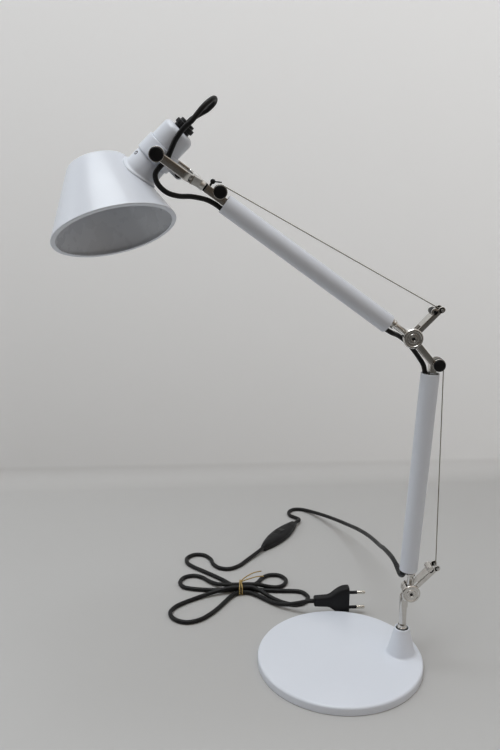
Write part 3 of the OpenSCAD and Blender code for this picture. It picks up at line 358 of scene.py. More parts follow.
def make_piece(name: str, shapes: Sequence[Shape], finishes: Sequence[Material],
               sharp: float = SHARP_EDGE) -> Piece:
    """Writes shapes into one mesh object that sits at the origin.

    Args:
        name: the piece's name.
        shapes: shapes in the part's frame, in millimetres.
        finishes: materials, in the order of the shapes' finish numbers.
        sharp: angle in degrees over which an edge stays sharp.

    Returns:
        The new object.
    """
    starts = np.cumsum([0] + [len(s.points) for s in shapes[:-1]])
    points = np.vstack([s.points for s in shapes]) * MM
    quads = np.vstack([s.quads + start for s, start in zip(shapes, starts)])
    mesh = bpy.data.meshes.new(name)
    mesh.from_pydata(points.tolist(), [], quads.tolist())
    mesh.polygons.foreach_set("material_index", np.concatenate([s.finish for s in shapes]).astype(np.int32))
    mesh.uv_layers.new(name="UVMap").data.foreach_set(
        "uv", np.vstack([s.corners.reshape(-1, 2) for s in shapes]).ravel())
    net_copy = bmesh.new()
    net_copy.from_mesh(mesh)
    bmesh.ops.remove_doubles(net_copy, verts=net_copy.verts, dist=2e-6)
    bmesh.ops.dissolve_degenerate(net_copy, edges=net_copy.edges, dist=1e-7)
    bmesh.ops.recalc_face_normals(net_copy, faces=net_copy.faces)
    net_copy.to_mesh(mesh)
    net_copy.free()
    mesh.polygons.foreach_set("use_smooth", np.ones(len(mesh.polygons), bool))
    mesh.set_sharp_from_angle(angle=math.radians(sharp))
    for material in finishes:
        mesh.materials.append(material)
    piece = bpy.data.objects.new(name, mesh)
    bpy.context.scene.collection.objects.link(piece)
    return piece


class Nodes:
    """Short ways to write the node tree of a material or of the room's light."""

    def __init__(self, block: bpy.types.ID, shader: str = "Principled BSDF") -> None:
        """Opens the tree of a new material or world, with the shader that it starts with."""
        block.use_nodes = True
        self.block = block
        self.tree = block.node_tree
        self.shader = self.tree.nodes[shader]

    def add(self, kind: str, settings: Optional[dict] = None, **inputs: object) -> bpy.types.Node:
        """Adds a node.

        Args:
            kind: node type without its ShaderNode prefix.
            settings: the node's own properties.
            inputs: values or links for its sockets, with underscores for spaces.

        Returns:
            The new node.
        """
        node = self.tree.nodes.new("ShaderNode" + kind)
        for key, value in (settings or {}).items():
            setattr(node, key, value)
        for key, value in inputs.items():
            self.plug(node, key.replace("_", " "), value)
        return node

    def plug(self, node: bpy.types.Node, socket: str | int, value: object) -> None:
        """Sets a socket to a value, or links it to another node's socket."""
        target = node.inputs[socket]
        if isinstance(value, Socket):
            self.tree.links.new(value, target)
        else:
            target.default_value = value

    def set(self, **inputs: object) -> None:
        """Sets or links sockets of the shader."""
        for key, value in inputs.items():
            self.plug(self.shader, key.replace("_", " "), value)

    def place(self, kind: str = "Object") -> Socket:
        """Coordinates of one kind: Object, UV for the piece's own texture places, or Generated."""
        return self.add("TexCoord").outputs[kind]

    def apart(self, where: Socket) -> dict[str, Socket]:
        """The three numbers of a place, by the names of their axes."""
        split = self.add("SeparateXYZ", Vector=where)
        return {axis: split.outputs[axis] for axis in "XYZ"}

    def noise(self, where: Socket, scale: float, detail: float = 2.0) -> Socket:
        """A cloudy value from 0 to 1."""
        return self.add("TexNoise", Vector=where, Scale=scale, Detail=detail).outputs["Fac"]

    def reckon(self, operation: str, *values: object, clamp: bool = False) -> Socket:
        """The result of one operation on values or sockets."""
        node = self.add("Math", {"operation": operation, "use_clamp": clamp})
        for number, value in enumerate(values):
            self.plug(node, number, value)
        return node.outputs["Value"]

    def ranged(self, value: Socket, low: float, high: float, start: float = 0.3,
               end: float = 0.7) -> Socket:
        """A value stretched from start..end to low..high."""
        node = self.add("MapRange", Value=value, From_Min=start, From_Max=end, To_Min=low, To_Max=high)
        return node.outputs["Result"]

    def mixed(self, share: Socket, first: Colour | Socket, second: Colour | Socket) -> Socket:
        """A colour between two, by a share from 0 to 1."""
        node = self.add("Mix", {"data_type": "RGBA"})
        self.plug(node, 0, share)
        for socket, colour in ((6, first), (7, second)):
            self.plug(node, socket, colour if isinstance(colour, Socket) else (*colour, 1.0))
        return node.outputs[2]

    def bump(self, height: Socket, depth: float, strength: float = 1.0) -> None:
        """Presses a height into the shader's normal, with a depth in metres."""
        node = self.add("Bump", Height=height, Distance=depth, Strength=strength)
        self.set(Normal=node.outputs["Normal"])


@dataclass(frozen=True)
class Finish:
    """A named material of the lamp, between two close colours."""

    name: str
    colour: Colour
    worn: Colour

    def build(self) -> Material:
        """Makes the material and writes its nodes."""
        n = Nodes(bpy.data.materials.new(self.name))
        self.write(n)
        return n.block

    def write(self, n: Nodes) -> None:
        """Writes the finish's own nodes."""
        raise NotImplementedError


@dataclass(frozen=True)
class PaintFinish(Finish):
    """Sprayed gloss paint: a faint ripple, cloudy tone and a clear coat."""

    gloss: Span = (0.3, 0.38)
    coat: float = 0.2
    coat_gloss: float = 0.14
    ripple_depth: float = 0.00002

    def write(self, n: Nodes) -> None:
        """Cloudy colour and gloss under the coat, with the ripple pressed in."""
        here = n.place()
        n.set(Base_Color=n.mixed(n.ranged(n.noise(here, 9, 3), 0, 1), self.colour, self.worn),
              Roughness=n.ranged(n.noise(here, 55, 3), *self.gloss), Coat_Weight=self.coat,
              Coat_Roughness=self.coat_gloss, Specular_IOR_Level=0.5)
        n.bump(n.noise(here, 420, 1), self.ripple_depth, 0.5)


@dataclass(frozen=True)
class MetalFinish(Finish):
    """Plated metal: cloudy polish, fine scratches and, where it was turned, rings about an axis along Y."""

    polish: Span = (0.08, 0.2)
    ring_centre: Optional[Point] = None
    ring_pitch: float = 1.7
    ring_depth: float = 0.00002
    scratches: Point = (900, 240, 2600)
    scratch_depth: float = 0.000004

    def write(self, n: Nodes) -> None:
        """Cloudy colour and polish, with rings or scratches pressed in."""
        here = n.place()
        n.set(Base_Color=n.mixed(n.ranged(n.noise(here, 160, 4), 0, 1), self.colour, self.worn),
              Metallic=1.0, Roughness=n.ranged(n.noise(here, 700, 3), *self.polish))
        if self.ring_centre is None:
            scratch = n.add("Mapping", Vector=here, Scale=self.scratches).outputs["Vector"]
            n.bump(n.noise(scratch, 1.0, 2), self.scratch_depth, 0.35)
            return
        shift = tuple(-v * MM for v in self.ring_centre)
        centred = n.add("Mapping", Vector=here, Location=shift).outputs["Vector"]
        flat = n.add("VectorMath", {"operation": "MULTIPLY"})
        n.plug(flat, 0, centred)
        n.plug(flat, 1, (1, 0, 1))
        away = n.add("VectorMath", {"operation": "LENGTH"})
        n.plug(away, 0, flat.outputs["Vector"])
        turn = n.reckon("MULTIPLY", away.outputs["Value"], FULL_TURN / (self.ring_pitch * MM))
        n.bump(n.reckon("SINE", turn), self.ring_depth, 0.4)


@dataclass(frozen=True)
class PlasticFinish(Finish):
    """Moulded plastic or rubber: fine grain, worn patches and a trace of dust."""

    gloss: Span = (0.32, 0.48)
    grain: float = 900.0
    depth: float = 0.00003
    sheen: float = 0.22

    def write(self, n: Nodes) -> None:
        """Worn patches of colour and gloss, with the grain pressed in."""
        here = n.place()
        patches = n.ranged(n.noise(here, 60, 4), 0, 1, 0.45, 0.75)
        n.set(Base_Color=n.mixed(patches, self.colour, self.worn),
              Roughness=n.ranged(n.noise(here, 120, 3), *self.gloss), Specular_IOR_Level=self.sheen)
        n.bump(n.noise(here, self.grain, 2), self.depth, 0.4)


@dataclass(frozen=True)
class SheathFinish(Finish):
    """A cord's extruded sheath, or a stranded wire: ridges that run along or wind round it."""

    gloss: Span
    ridges: float
    twist: float = 0.0
    depth: float = 0.00002
    metal: float = 0.0
    sheen: float = 0.22

    def write(self, n: Nodes) -> None:
        """Worn patches of colour and gloss; a ridge is a sine of the way round and along."""
        spot = n.apart(n.place("UV"))
        around = n.reckon("MULTIPLY", spot["X"], self.ridges)
        turns = n.reckon("MULTIPLY_ADD", spot["Y"], self.twist, around)
        tone = n.noise(n.place(), 70, 4)
        n.set(Base_Color=n.mixed(n.ranged(tone, 0, 1, 0.4, 0.75), self.colour, self.worn),
              Metallic=self.metal, Roughness=n.ranged(tone, *self.gloss), Specular_IOR_Level=self.sheen)
        n.bump(n.reckon("SINE", n.reckon("MULTIPLY", turns, FULL_TURN)), self.depth, 0.6)


@dataclass(frozen=True)
class GlassFinish(Finish):
    """Clear glass with a faint ripple."""

    bend: float = 1.47
    gloss: Span = (0.02, 0.08)
    ripple_depth: float = 0.00002

    def write(self, n: Nodes) -> None:
        """Clear colour with a little cloud in its gloss."""
        here = n.place()
        n.set(Base_Color=(*self.colour, 1.0), Transmission_Weight=1.0, IOR=self.bend,
              Roughness=n.ranged(n.noise(here, 80, 2), *self.gloss))
        n.bump(n.noise(here, 90, 1), self.ripple_depth, 0.3)


@dataclass
class Finishes:
    """All finishes of the lamp, built once."""

    paint: Material = field(init=False)
    inside: Material = field(init=False)
    chrome: Material = field(init=False)
    satin: Material = field(init=False)
    lower_disc: Material = field(init=False)
    elbow_disc: Material = field(init=False)
    steel: Material = field(init=False)
    dark_screw: Material = field(init=False)
    black: Material = field(init=False)
    switch: Material = field(init=False)
    rubber: Material = field(init=False)
    grey: Material = field(init=False)
    holder: Material = field(init=False)
    sheath: Material = field(init=False)
    wire: Material = field(init=False)
    tie: Material = field(init=False)
    weight: Material = field(init=False)
    glass: Material = field(init=False)
    nickel: Material = field(init=False)

    def __post_init__(self) -> None:
        """Builds each finish and keeps its material under the same name."""
        groups = (self.paints(), self.metals(), self.mouldings(), self.sheaths())
        for name, finish in ((name, finish) for group in groups for name, finish in group.items()):
            setattr(self, name, finish.build())

    def paints(self) -> dict[str, Finish]:
        """White paint, the shade's inside and the bulb's glass."""
        clear = (0.93, 0.92, 0.88)
        return {
            "paint": PaintFinish("white_gloss_paint", (0.75, 0.785, 0.855), (0.72, 0.755, 0.825)),
            "inside": PaintFinish("shade_inside_paint", (0.69, 0.71, 0.75), (0.65, 0.67, 0.71),
                                  gloss=(0.24, 0.32), coat=0.3),
            "glass": GlassFinish("bulb_glass", clear, clear)}

    def metals(self) -> dict[str, Finish]:
        """Chrome in its polishes, steel and nickel."""
        bright, dull, turned = (0.68, 0.66, 0.63), (0.58, 0.56, 0.53), (0.18, 0.25)
        elbow = tuple(ELBOW.points((0, 0, 0)))
        return {
            "chrome": MetalFinish("bright_chrome", bright, dull),
            "satin": MetalFinish("satin_chrome", (0.80, 0.79, 0.77), (0.72, 0.71, 0.69), (0.36, 0.46)),
            "lower_disc": MetalFinish("turned_chrome_lower", bright, dull, turned, LOWER_PIVOT),
            "elbow_disc": MetalFinish("turned_chrome_elbow", bright, dull, turned, elbow),
            "steel": MetalFinish("spring_steel", (0.5, 0.49, 0.47), (0.4, 0.39, 0.37), (0.25, 0.4)),
            "dark_screw": MetalFinish("dark_screw_steel", (0.1, 0.1, 0.1), (0.06, 0.06, 0.06), (0.3, 0.45)),
            "nickel": MetalFinish("nickel_pins", (0.72, 0.69, 0.62), (0.62, 0.59, 0.52), (0.15, 0.28))}

    def mouldings(self) -> dict[str, Finish]:
        """Black and grey plastic, rubber, ceramic and raw iron."""
        return {
            "black": PlasticFinish("black_moulding", (0.006, 0.006, 0.007), (0.012, 0.012, 0.012)),
            "switch": PlasticFinish("switch_moulding", (0.007, 0.007, 0.008), (0.014, 0.014, 0.014),
                                    gloss=(0.38, 0.55)),
            "rubber": PlasticFinish("pad_rubber", (0.03, 0.03, 0.03), (0.06, 0.06, 0.06),
                                    gloss=(0.7, 0.85), grain=400),
            "grey": PlasticFinish("grey_inner_plastic", (0.16, 0.16, 0.16), (0.22, 0.22, 0.22),
                                  gloss=(0.4, 0.6)),
            "holder": PlasticFinish("lampholder_ceramic", (0.62, 0.61, 0.58), (0.52, 0.51, 0.48),
                                    gloss=(0.35, 0.55), grain=500),
            "weight": PlasticFinish("raw_weight_iron", (0.10, 0.10, 0.10), (0.16, 0.15, 0.14),
                                    gloss=(0.55, 0.75), grain=300)}

    def sheaths(self) -> dict[str, Finish]:
        """The cord's sheath, the balance wire and the tie."""
        return {
            "sheath": SheathFinish("black_cord_sheath", (0.007, 0.007, 0.008), (0.016, 0.016, 0.015),
                                   gloss=(0.34, 0.5), ridges=2, depth=0.00004),
            "wire": SheathFinish("stranded_wire", (0.36, 0.34, 0.29), (0.24, 0.22, 0.18),
                                 gloss=(0.3, 0.5), ridges=5, twist=420, depth=0.00006, metal=1.0),
            "tie": SheathFinish("twist_tie", (0.46, 0.33, 0.13), (0.34, 0.23, 0.08),
                                gloss=(0.5, 0.7), ridges=2, twist=300, depth=0.00005)}


@dataclass
class Assembly:
    """A group of pieces that share the finishes."""

    finishes: Finishes

    def put(self, name: str, shapes: Sequence[Shape], finishes: Sequence[Material], body: Optional[str],
            slot: str, nodes: Sequence[str] = (), sharp: float = SHARP_EDGE) -> Piece:
        """Makes a piece, rides it on a body and lets it stand for CAD nodes.

        Args:
            name: the piece's name.
            shapes: its shapes in the part's frame.
            finishes: its materials.
            body: the body that carries it, or none for a piece that runs between two bodies and is left
                unattached.
            slot: the record's material slot; not used.
            nodes: CAD nodes that it stands for.
            sharp: angle over which an edge stays sharp.

        Returns:
            The piece.
        """
        piece = make_piece(name, shapes, finishes, sharp)
        if body:
            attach(piece, body)
        if nodes:
            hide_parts(*nodes)
        LOG.info("%s: %d faces", name, len(piece.data.polygons))
        return piece

    def dress(self, finish: Material, *nodes: str) -> None:
        """Gives CAD nodes that stay in view a finish."""
        for name in nodes:
            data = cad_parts[name].data
            data.materials.clear()
            data.materials.append(finish)


def ring_profile(inner: float, outer: float, low: float, high: float, soft: float) -> Array:
    """Closed profile of a ring with softened edges."""
    return rounded([(inner, low), (outer, low), (outer, high), (inner, high)], soft, closed=True)


def solid_profile(outer: float, low: float, high: float, soft: float) -> Array:
    """Profile of a round solid with softened edges, from axis to axis."""
    return rounded([(0, low), (outer, low), (outer, high), (0, high)], soft)


def across(place: Place) -> Place:
    """A place whose Z runs along the given place's -Y, towards the viewer."""
    return place.turned("x", 90)


@dataclass
class Base(Assembly):
    """The round base with its cone, bush and hidden weight."""

    radius: float = 85.0
    top: float = 9.3
    skirt: float = 0.3
    wall: float = 2.5
    plate: float = 3.0
    edge: float = 2.4
    cone_at: float = 64.0
    cone_top: float = 38.6
    cone_foot: float = 14.75
    cone_mouth: float = 7.8
    cone_bore: float = 6.4
    cone_sunk: float = 8.2
    cone_flange: float = 4.4
    cone_fillet: float = 5.5
    bush_bore: float = 3.85
    bush_outer: float = 6.2
    bush_reach: Span = (8.1, 37.7)

    def build(self) -> None:
        """Makes the base's pieces and dresses what stays."""
        f = self.finishes
        inner, under = self.radius - self.wall, self.top - self.plate
        plate = rounded([(0, under), (inner, under), (inner, self.skirt), (self.radius, self.skirt),
                         (self.radius, self.top), (0, self.top)], [0, 0.6, 0.4, 0.5, self.edge, 0], 7)
        bore, flange, surface = self.cone_bore, self.cone_foot + self.cone_flange, self.top + 0.02
        cone = rounded([(bore, self.cone_sunk), (flange, self.cone_sunk), (flange, surface),
                        (self.cone_foot - 0.1, surface), (self.cone_mouth, self.cone_top),
                        (bore, self.cone_top)], [0.1, 0.1, 0.1, self.cone_fillet, 0.7, 0.5], 7, closed=True)
        stem = WORLD.moved(self.cone_at, 0, 0)
        shell = [turned_body(plate, 192), turned_body(cone, 96, True).at(stem)]
        self.put("base_shell", shell, [f.paint], "base", "white_paint", ["base_cover"], 50)
        bush = turned_body(ring_profile(self.bush_bore, self.bush_outer, *self.bush_reach, 0.5), 64, True)
        self.put("cone_bush", [bush.at(stem)], [f.black], "base", "black_plastic", ["stem_bush"])
        self.dress(f.weight, "base_weight")
        self.dress(f.rubber, "base_pad")
        self.dress(f.steel, "base_screws")


@dataclass
class Pivot(Assembly):
    """Turned discs, axle, lever and wire anchor of one arm pivot."""

    name: str = ""
    body: str = ""
    place: Place = WORLD
    lever_angle: float = 0.0
    disc_finish: Optional[Material] = None
    anchor_chrome: bool = False
    disc_in: float = 6.45
    disc_out: float = 9.65
    disc_radius: float = 9.5
    rear_radius: float = 6.3
    axle_bore: float = 2.55
    axle_collar: Span = (1.6, 2.5)
    axle_hole: float = 1.65
    axle_depth: float = 5.5
    lever_in: float = 4.9
    lever_out: float = 6.4
    lever_half: float = 2.4
    web_from: float = 13.0
    web_half: float = 0.75
    roller_along: float = 31.2
    roller_up: float = 3.0
    roller_radius: float = 3.3
    bolt_radius: float = 1.5
    pin_along: float = 37.0
    pin_up: float = -0.7
    pin_radius: float = 1.3
    pin_margin: float = 1.7

    def build(self) -> None:
        """Makes discs, axle, lever and anchor."""
        self.build_discs()
        self.build_lever()

    def build_discs(self) -> None:
        """Makes the front disc with its bevelled rim, dish and raised eye, and the plain rear disc."""
        r, low, high, bore = self.disc_radius, self.disc_in, self.disc_out, self.axle_bore
        front = rounded([(bore, low), (r - 0.2, low), (r, low + 0.5), (r, high - 1.0), (r - 0.9, high),
                         (r - 2.2, high), (r - 2.6, high - 0.45), (4.9, high - 0.55), (4.5, high),
                         (2.75, high), (bore, high - 0.3)],
                        [0.1, 0.2, 0.2, 0.3, 0.3, 0.15, 0.15, 0.15, 0.15, 0.15, 0.1], 4, closed=True)
        rear = ring_profile(bore, self.rear_radius, low, high, 0.6)
        facing, away = across(self.place), across(self.place).turned("x", 180)
        discs = [turned_body(front, 96, True).at(facing), turned_body(rear, 64, True).at(away)]
        node = self.name + "_discs"
        self.put(self.name + "_turned_discs", discs, [self.disc_finish], self.body, "chrome", [node])
        bottom = high - self.axle_depth
        # Painted shade: the hole in the axle's end is a black disc that darkens the recess inside the collar.
        hole = turned_body(solid_profile(self.axle_hole, bottom, high - 1.3, 0.1), 32)
        collar = turned_body(ring_profile(*self.axle_collar, bottom, high - 0.15, 0.25), 48, True)
        ends = [shape.at(side) for side in (facing, away) for shape in (hole, collar.finished(1))]
        f = self.finishes
        self.put(self.name + "_axle_ends", ends, [f.black, f.chrome], self.body, "chrome")
        self.dress(f.dark_screw, self.name + "_axle")

    def build_lever(self) -> None:
        """Makes the lever as a channel of two cheeks and a web, its roller and the pin of the wire."""
        place = self.place.turned("y", -self.lever_angle)
        sides = ((self.lever_in, self.lever_out), (-self.lever_out, -self.lever_in))
        carrier = "base" if self.name == "lower" else "elbow"

        def spot(along: float, up: float, radius: float) -> list[Shape]:
            """A round eye on both cheeks."""
            line = np.array([(along - 0.1, up), (along + 0.1, up)], float)
            return [strip(line, radius, (radius, radius), side, 0.4) for side in sides]

        line = np.array([(0, 0), (self.pin_along, 0)], float)
        shapes = [strip(line, self.lever_half, (PIVOT_EYE, self.lever_half), side, 0.45) for side in sides]
        shapes += spot(self.roller_along, self.roller_up, self.roller_radius)
        shapes += spot(self.pin_along, self.pin_up, self.pin_radius + self.pin_margin)
        web_up, web_to = self.lever_half - self.web_half, self.roller_along - self.roller_radius - 0.4
        web_line = np.array([(self.web_from, web_up), (web_to, web_up)], float)
        web_depth = (-self.lever_out + 0.05, self.lever_out - 0.05)
        shapes.append(strip(web_line, self.web_half, SQUARE_ENDS, web_depth, 0.3))
        channel = [s.at(place) for s in shapes]
        self.put(self.name + "_lever_channel", channel, [self.finishes.chrome], self.body, "chrome",
                 [carrier + "_lever"])
        roller_place = across(place.moved(self.roller_along, 0, self.roller_up))
        pin_place = across(place.moved(self.pin_along, 0, self.pin_up))
        half, out = self.lever_in - 0.2, self.lever_out + 0.3
        roller = turned_body(solid_profile(self.roller_radius, -half, half, 0.5), 48).at(roller_place)
        bolt = turned_body(solid_profile(self.bolt_radius, -out, out, 0.3), 32).at(roller_place)
        pin = turned_body(solid_profile(self.pin_radius, -out, out, 0.3), 32).finished(1).at(pin_place)
        finish = self.finishes.chrome if self.anchor_chrome else self.finishes.black
        self.put(self.name + "_wire_roller", [roller, bolt, pin], [finish, self.finishes.steel], self.body,
                 "black_plastic", [carrier + "_anchor"])


@dataclass
class Stem(Assembly):
    """The stem in its cone and the clevis of the lower pivot."""

    at: float = Base.cone_at
    radius: float = 3.75
    collar: float = 5.0
    reach: Span = (20.0, 70.0)
    seat: float = 37.95
    clevis_x: float = -5.0
    clevis_half: float = 3.4

    def build(self) -> None:
        """Makes the rod with its turned collar, and the clevis."""
        chrome, c, r, groove = [self.finishes.chrome], self.collar, self.radius, self.collar - 0.7
        low, high = self.reach
        rod = rounded([(0, low), (r, low), (r, self.seat), (c, self.seat), (c, 39.6), (groove, 40.2),
                       (groove, 42.2), (r, 43.9), (r, high), (0, high)],
                      [0, 0.3, 0.05, 0.4, 0.3, 0.2, 0.5, 0.5, 0.4, 0], 4)
        stem = WORLD.moved(self.at, 0, 0)
        self.put("stem_rod_turned", [turned_body(rod, 64).at(stem)], chrome, "stem", "chrome", ["stem_rod"])
        x = self.clevis_x
        line = rounded([(x, -16.9), (x, -9), (0, 0)], [0, 8, 0], 8)
        shapes = [strip(line, self.clevis_half, (0.1, PIVOT_EYE), side, 0.7) for side in CHEEKS]
        web_line = np.array([(x, -10.9), (x, -7.5)], float)
        shapes.append(strip(web_line, self.clevis_half - 0.05, SQUARE_ENDS, WEB, 0.5))
        cheeks = [s.at(STAND) for s in shapes]
        self.put("stem_clevis_cheeks", cheeks, chrome, "stem", "chrome", ["stem_clevis"])


@dataclass
class Arm(Assembly):
    """One arm: foot, tube, bracket, pulley caps and the hidden spring."""

    name: str = ""
    body: str = ""
    place: Place = WORLD
    foot: float = LOWER_FOOT
    end: float = LOWER_END
    offset: float = -3.0
    outer: float = 9.0
    inner: float = 8.0
    spigot: float = 12.9
    bracket_x: float = -1.7
    bracket_sunk: float = 12.7
    web_inset: float = 0.55
    web_stop: float = 13.0
    block: Span = (229.5, 233.4)
    cap_radius: float = 5.55
    cap_reach: Span = (4.95, 8.9)

    @property
    def pulley(self) -> float:
        """Place of the pulley's axis along the arm."""
        return self.end + PULLEY_RISE

    def build(self) -> None:
        """Makes the arm's pieces."""
        self.build_foot()
        self.build_tube()
        self.build_bracket()
        self.build_caps()
        self.dress(self.finishes.grey, self.name + "_plugs", self.name + "_pulley")
        self.dress(self.finishes.steel, self.name + "_spring")

    def build_foot(self) -> None:
        """Makes the turned foot: an eye, a slim neck and a stepped collar at the tube."""
        far, tip = self.foot, self.foot + self.spigot
        eye = turned_body(solid_profile(PIVOT_EYE, -3.2, 3.2, 0.5), 64).at(across(self.place))
        turned = rounded([(0, 4), (3.0, 4), (3.0, far - 6.2), (3.9, far - 5.8), (4.5, far - 5.2),
                          (4.5, far - 3.4), (3.9, far - 3.0), (3.9, far - 2.2), (4.5, far - 1.8),
                          (4.5, far - 0.1), (4.0, far - 0.1), (4.0, tip), (0, tip)],
                         [0, 0.1, 0.4, 0.2, 0.3, 0.3, 0.2, 0.2, 0.3, 0.3, 0.1, 0.5, 0], 4)
        self.put(self.name + "_foot_turned", [eye, turned_body(turned, 64).at(self.place)],
                 [self.finishes.chrome], self.body, "chrome", [self.name + "_foot"])

    def build_tube(self) -> None:
        """Makes the painted tube with soft rims."""
        profile = ring_profile(self.inner, self.outer, self.foot, self.end, 0.45)
        tube = turned_body(profile, 96, True).at(self.place.moved(self.offset, 0, 0))
        self.put(self.name + "_arm_tube", [tube], [self.finishes.paint], self.body, "white_paint",
                 [self.name + "_tube"])

    def bracket_line(self) -> tuple[Array, Span]:
        """Middle line of the bracket's cheeks and the radius of its end eyes."""
        x, start = self.bracket_x, self.end - self.bracket_sunk
        if self.name == "lower":
            bend = [(x, start), (x, self.pulley + 0.5), (ELBOW_PIVOT[0], ELBOW_PIVOT[2])]
            return rounded(bend, [0, 6, 0], 8), (0.1, PIVOT_EYE)
        return np.array([(x, start), (x, SWIVEL)], float), SQUARE_ENDS

    def build_bracket(self) -> None:
        """Makes the bent channel: two cheeks, a pulley boss on each and a web along its inner bend."""
        line, eyes = self.bracket_line()
        half = 3.0 if self.name == "lower" else 3.7
        shapes = [strip(line, half, eyes, side, 0.45) for side in CHEEKS]
        boss = np.array([(self.bracket_x, self.pulley), (PULLEY_X, self.pulley)], float)
        for low, high in CHEEKS:
            depth = (low + 0.03, high + 0.03 if low > 0 else high - 0.03)
            shapes.append(strip(boss, 4.0, (0.1, 4.5), depth, 0.45))
        ahead = np.gradient(line, axis=0)
        ahead /= np.linalg.norm(ahead, axis=1, keepdims=True)
        normal = np.stack([-ahead[:, 1], ahead[:, 0]], axis=1)
        inset = half - self.web_inset
        web_line = line + normal * inset
        if self.name == "lower":
            reach = lengths(web_line)
            back = (line[-2] - line[-1]) / np.linalg.norm(line[-2] - line[-1])
            stop = line[-1] + back * self.web_stop + normal[-1] * inset
            web_line = np.vstack([web_line[reach < reach[-1] - self.web_stop], stop])
        shapes.append(strip(web_line, 0.5, SQUARE_ENDS, WEB, 0.3))
        if self.name == "upper":
            block = np.array([(self.bracket_x, z) for z in self.block], float)
            shapes.append(strip(block, 3.65, SQUARE_ENDS, WEB, 0.6))
        node = "elbow_bracket" if self.name == "lower" else "head_bracket"
        self.put(node + "_channel", [s.at(self.place) for s in shapes], [self.finishes.chrome], self.body,
                 "chrome", [node])

    def build_caps(self) -> None:
        """Makes the black pulley caps, each in a bright ring."""
        near = across(self.place.moved(PULLEY_X, 0, self.pulley))
        far = near.turned("x", 180)
        r, (low, high) = self.cap_radius, self.cap_reach
        cap = turned_body(rounded([(0, low), (r, low), (r, high), (0, high)], [0, 0.2, 0.7, 0], 5), 64)
        pin = turned_body(solid_profile(2.0, -4.9, 4.9, 0.1), 32)
        ring = turned_body(ring_profile(r + 0.02, r + 0.65, 4.92, 6.8, 0.3), 64, True).finished(1)
        shapes = [cap.at(near), cap.at(far), pin.at(near), ring.at(near), ring.at(far)]
        f = self.finishes
        self.put(self.name + "_pulley_black_caps", shapes, [f.black, f.chrome], self.body, "black_plastic",
                 [self.name + "_pulley_caps"])


@dataclass
class Fork(Assembly):
    """The chrome fork on its swivel."""

    root: float = 235.3
    half: float = 21.3
    thick: float = 3.0
    wide: float = 8.0
    eye: float = 6.7
    rim: float = 0.9
    rim_rise: float = 0.7
    cap_radius: float = 5.72
    cap_height: float = 2.6
    washer: Span = (2.6, 3.8)

    def build(self) -> None:
        """Makes the fork, its washer, pins, caps and the small stop on the bracket."""
        f = self.finishes
        face = self.half + self.thick
        sides = [across(FORK_EYES).turned("x", turn) for turn in (0, 180)]
        bars = [shape for side in (1.0, -1.0) for shape in self.bar(side)]
        root = rounded([(0, 229.6), (2.5, 229.6), (2.5, self.root), (4.0, self.root),
                        (4.5, self.root + 0.8), (4.5, 240.3), (3.3, 243.2), (0, 243.2)],
                       [0, 0.2, 0.05, 0.2, 0.3, 1.0, 0.8, 0], 5)
        inside, back, rise = self.eye - self.rim, self.half + 0.02, face + self.rim_rise
        rim = rounded([(0, back), (self.eye, back), (self.eye, rise), (inside, rise), (inside, face),
                       (0, face)], [0, 0.5, 0.35, 0.25, 0.1, 0], 4)
        eyes = [turned_body(rim, 64).at(side) for side in sides]
        hub = turned_body(root, 48).finished(1).at(FORK)
        self.put("fork_bars", bars + [hub] + eyes, [f.chrome, f.satin], "fork", "chrome", ["fork"])
        r, low = self.cap_radius, face + 0.05
        high = low + self.cap_height
        cap = turned_body(rounded([(0, low), (r, low), (r, high), (0, high)], [0, 0.1, 0.7, 0], 5), 64)
        self.put("fork_black_caps", [cap.at(side) for side in sides], [f.black], "fork", "black_plastic",
                 ["fork_caps"])
        washer = turned_body(ring_profile(*self.washer, SWIVEL + 0.1, SWIVEL + 1.7, 0.3), 48, True)
        self.put("swivel_black_washer", [washer.at(FORK_STAND)], [f.black], "upper_arm", "black_plastic",
                 ["swivel_washer"])
        self.dress(f.chrome, "fork_pins")
        self.dress(f.black, "wire_stop")

    def bar(self, side: float) -> list[Shape]:
        """One bar and its stouter shoulder: it leaves the root, slants out and runs on to its eye."""
        out, depth = self.half + self.thick / 2, (-self.wide / 2, self.wide / 2)
        corners = [(side * 1.5, 238.6), (side * 1.5, 240.9), (side * out, 252.6), (side * out, HEAD_PIVOT)]
        line = rounded(corners, [0, 2.5, 5.0, 0], 8)
        shoulder = np.array([(side * 0.9, 239.9), (side * 1.6, 240.6), (side * 15.5, 248.2)])
        return [strip(line, self.thick / 2, SQUARE_ENDS, depth, 1.2, Plane.FRONT).at(FORK),
                strip(shoulder, 2.0, SQUARE_ENDS, depth, 0.8, Plane.FRONT).finished(1).at(FORK)]


def cone_height(place_to_cone: Array, x: Array, y: Array, radius: float, rise: float) -> Array:
    """Height at which a line along Z meets the shade's outer cone.

    The line's points are carried into the shade's own frame, where the cone is r = radius - rise * z;
    the crossing is found by halving the span forty times.

    Args:
        place_to_cone: matrix from the shade frame to the standing shade.
        x: places across.
        y: places across.
        radius: radius of the cone at its mouth.
        rise: how much the radius falls for each unit of height.

    Returns:
        The heights.
    """
    low, high = np.full_like(x, -60.0), np.full_like(x, -12.0)
    for _ in range(40):
        middle = 0.5 * (low + high)
        p = np.stack([x, y, middle], axis=-1) @ place_to_cone[:3, :3].T + place_to_cone[:3, 3]
        inside = np.hypot(p[..., 0], p[..., 1]) < radius - rise * p[..., 2]
        low, high = np.where(inside, middle, low), np.where(inside, high, middle)
    return 0.5 * (low + high)


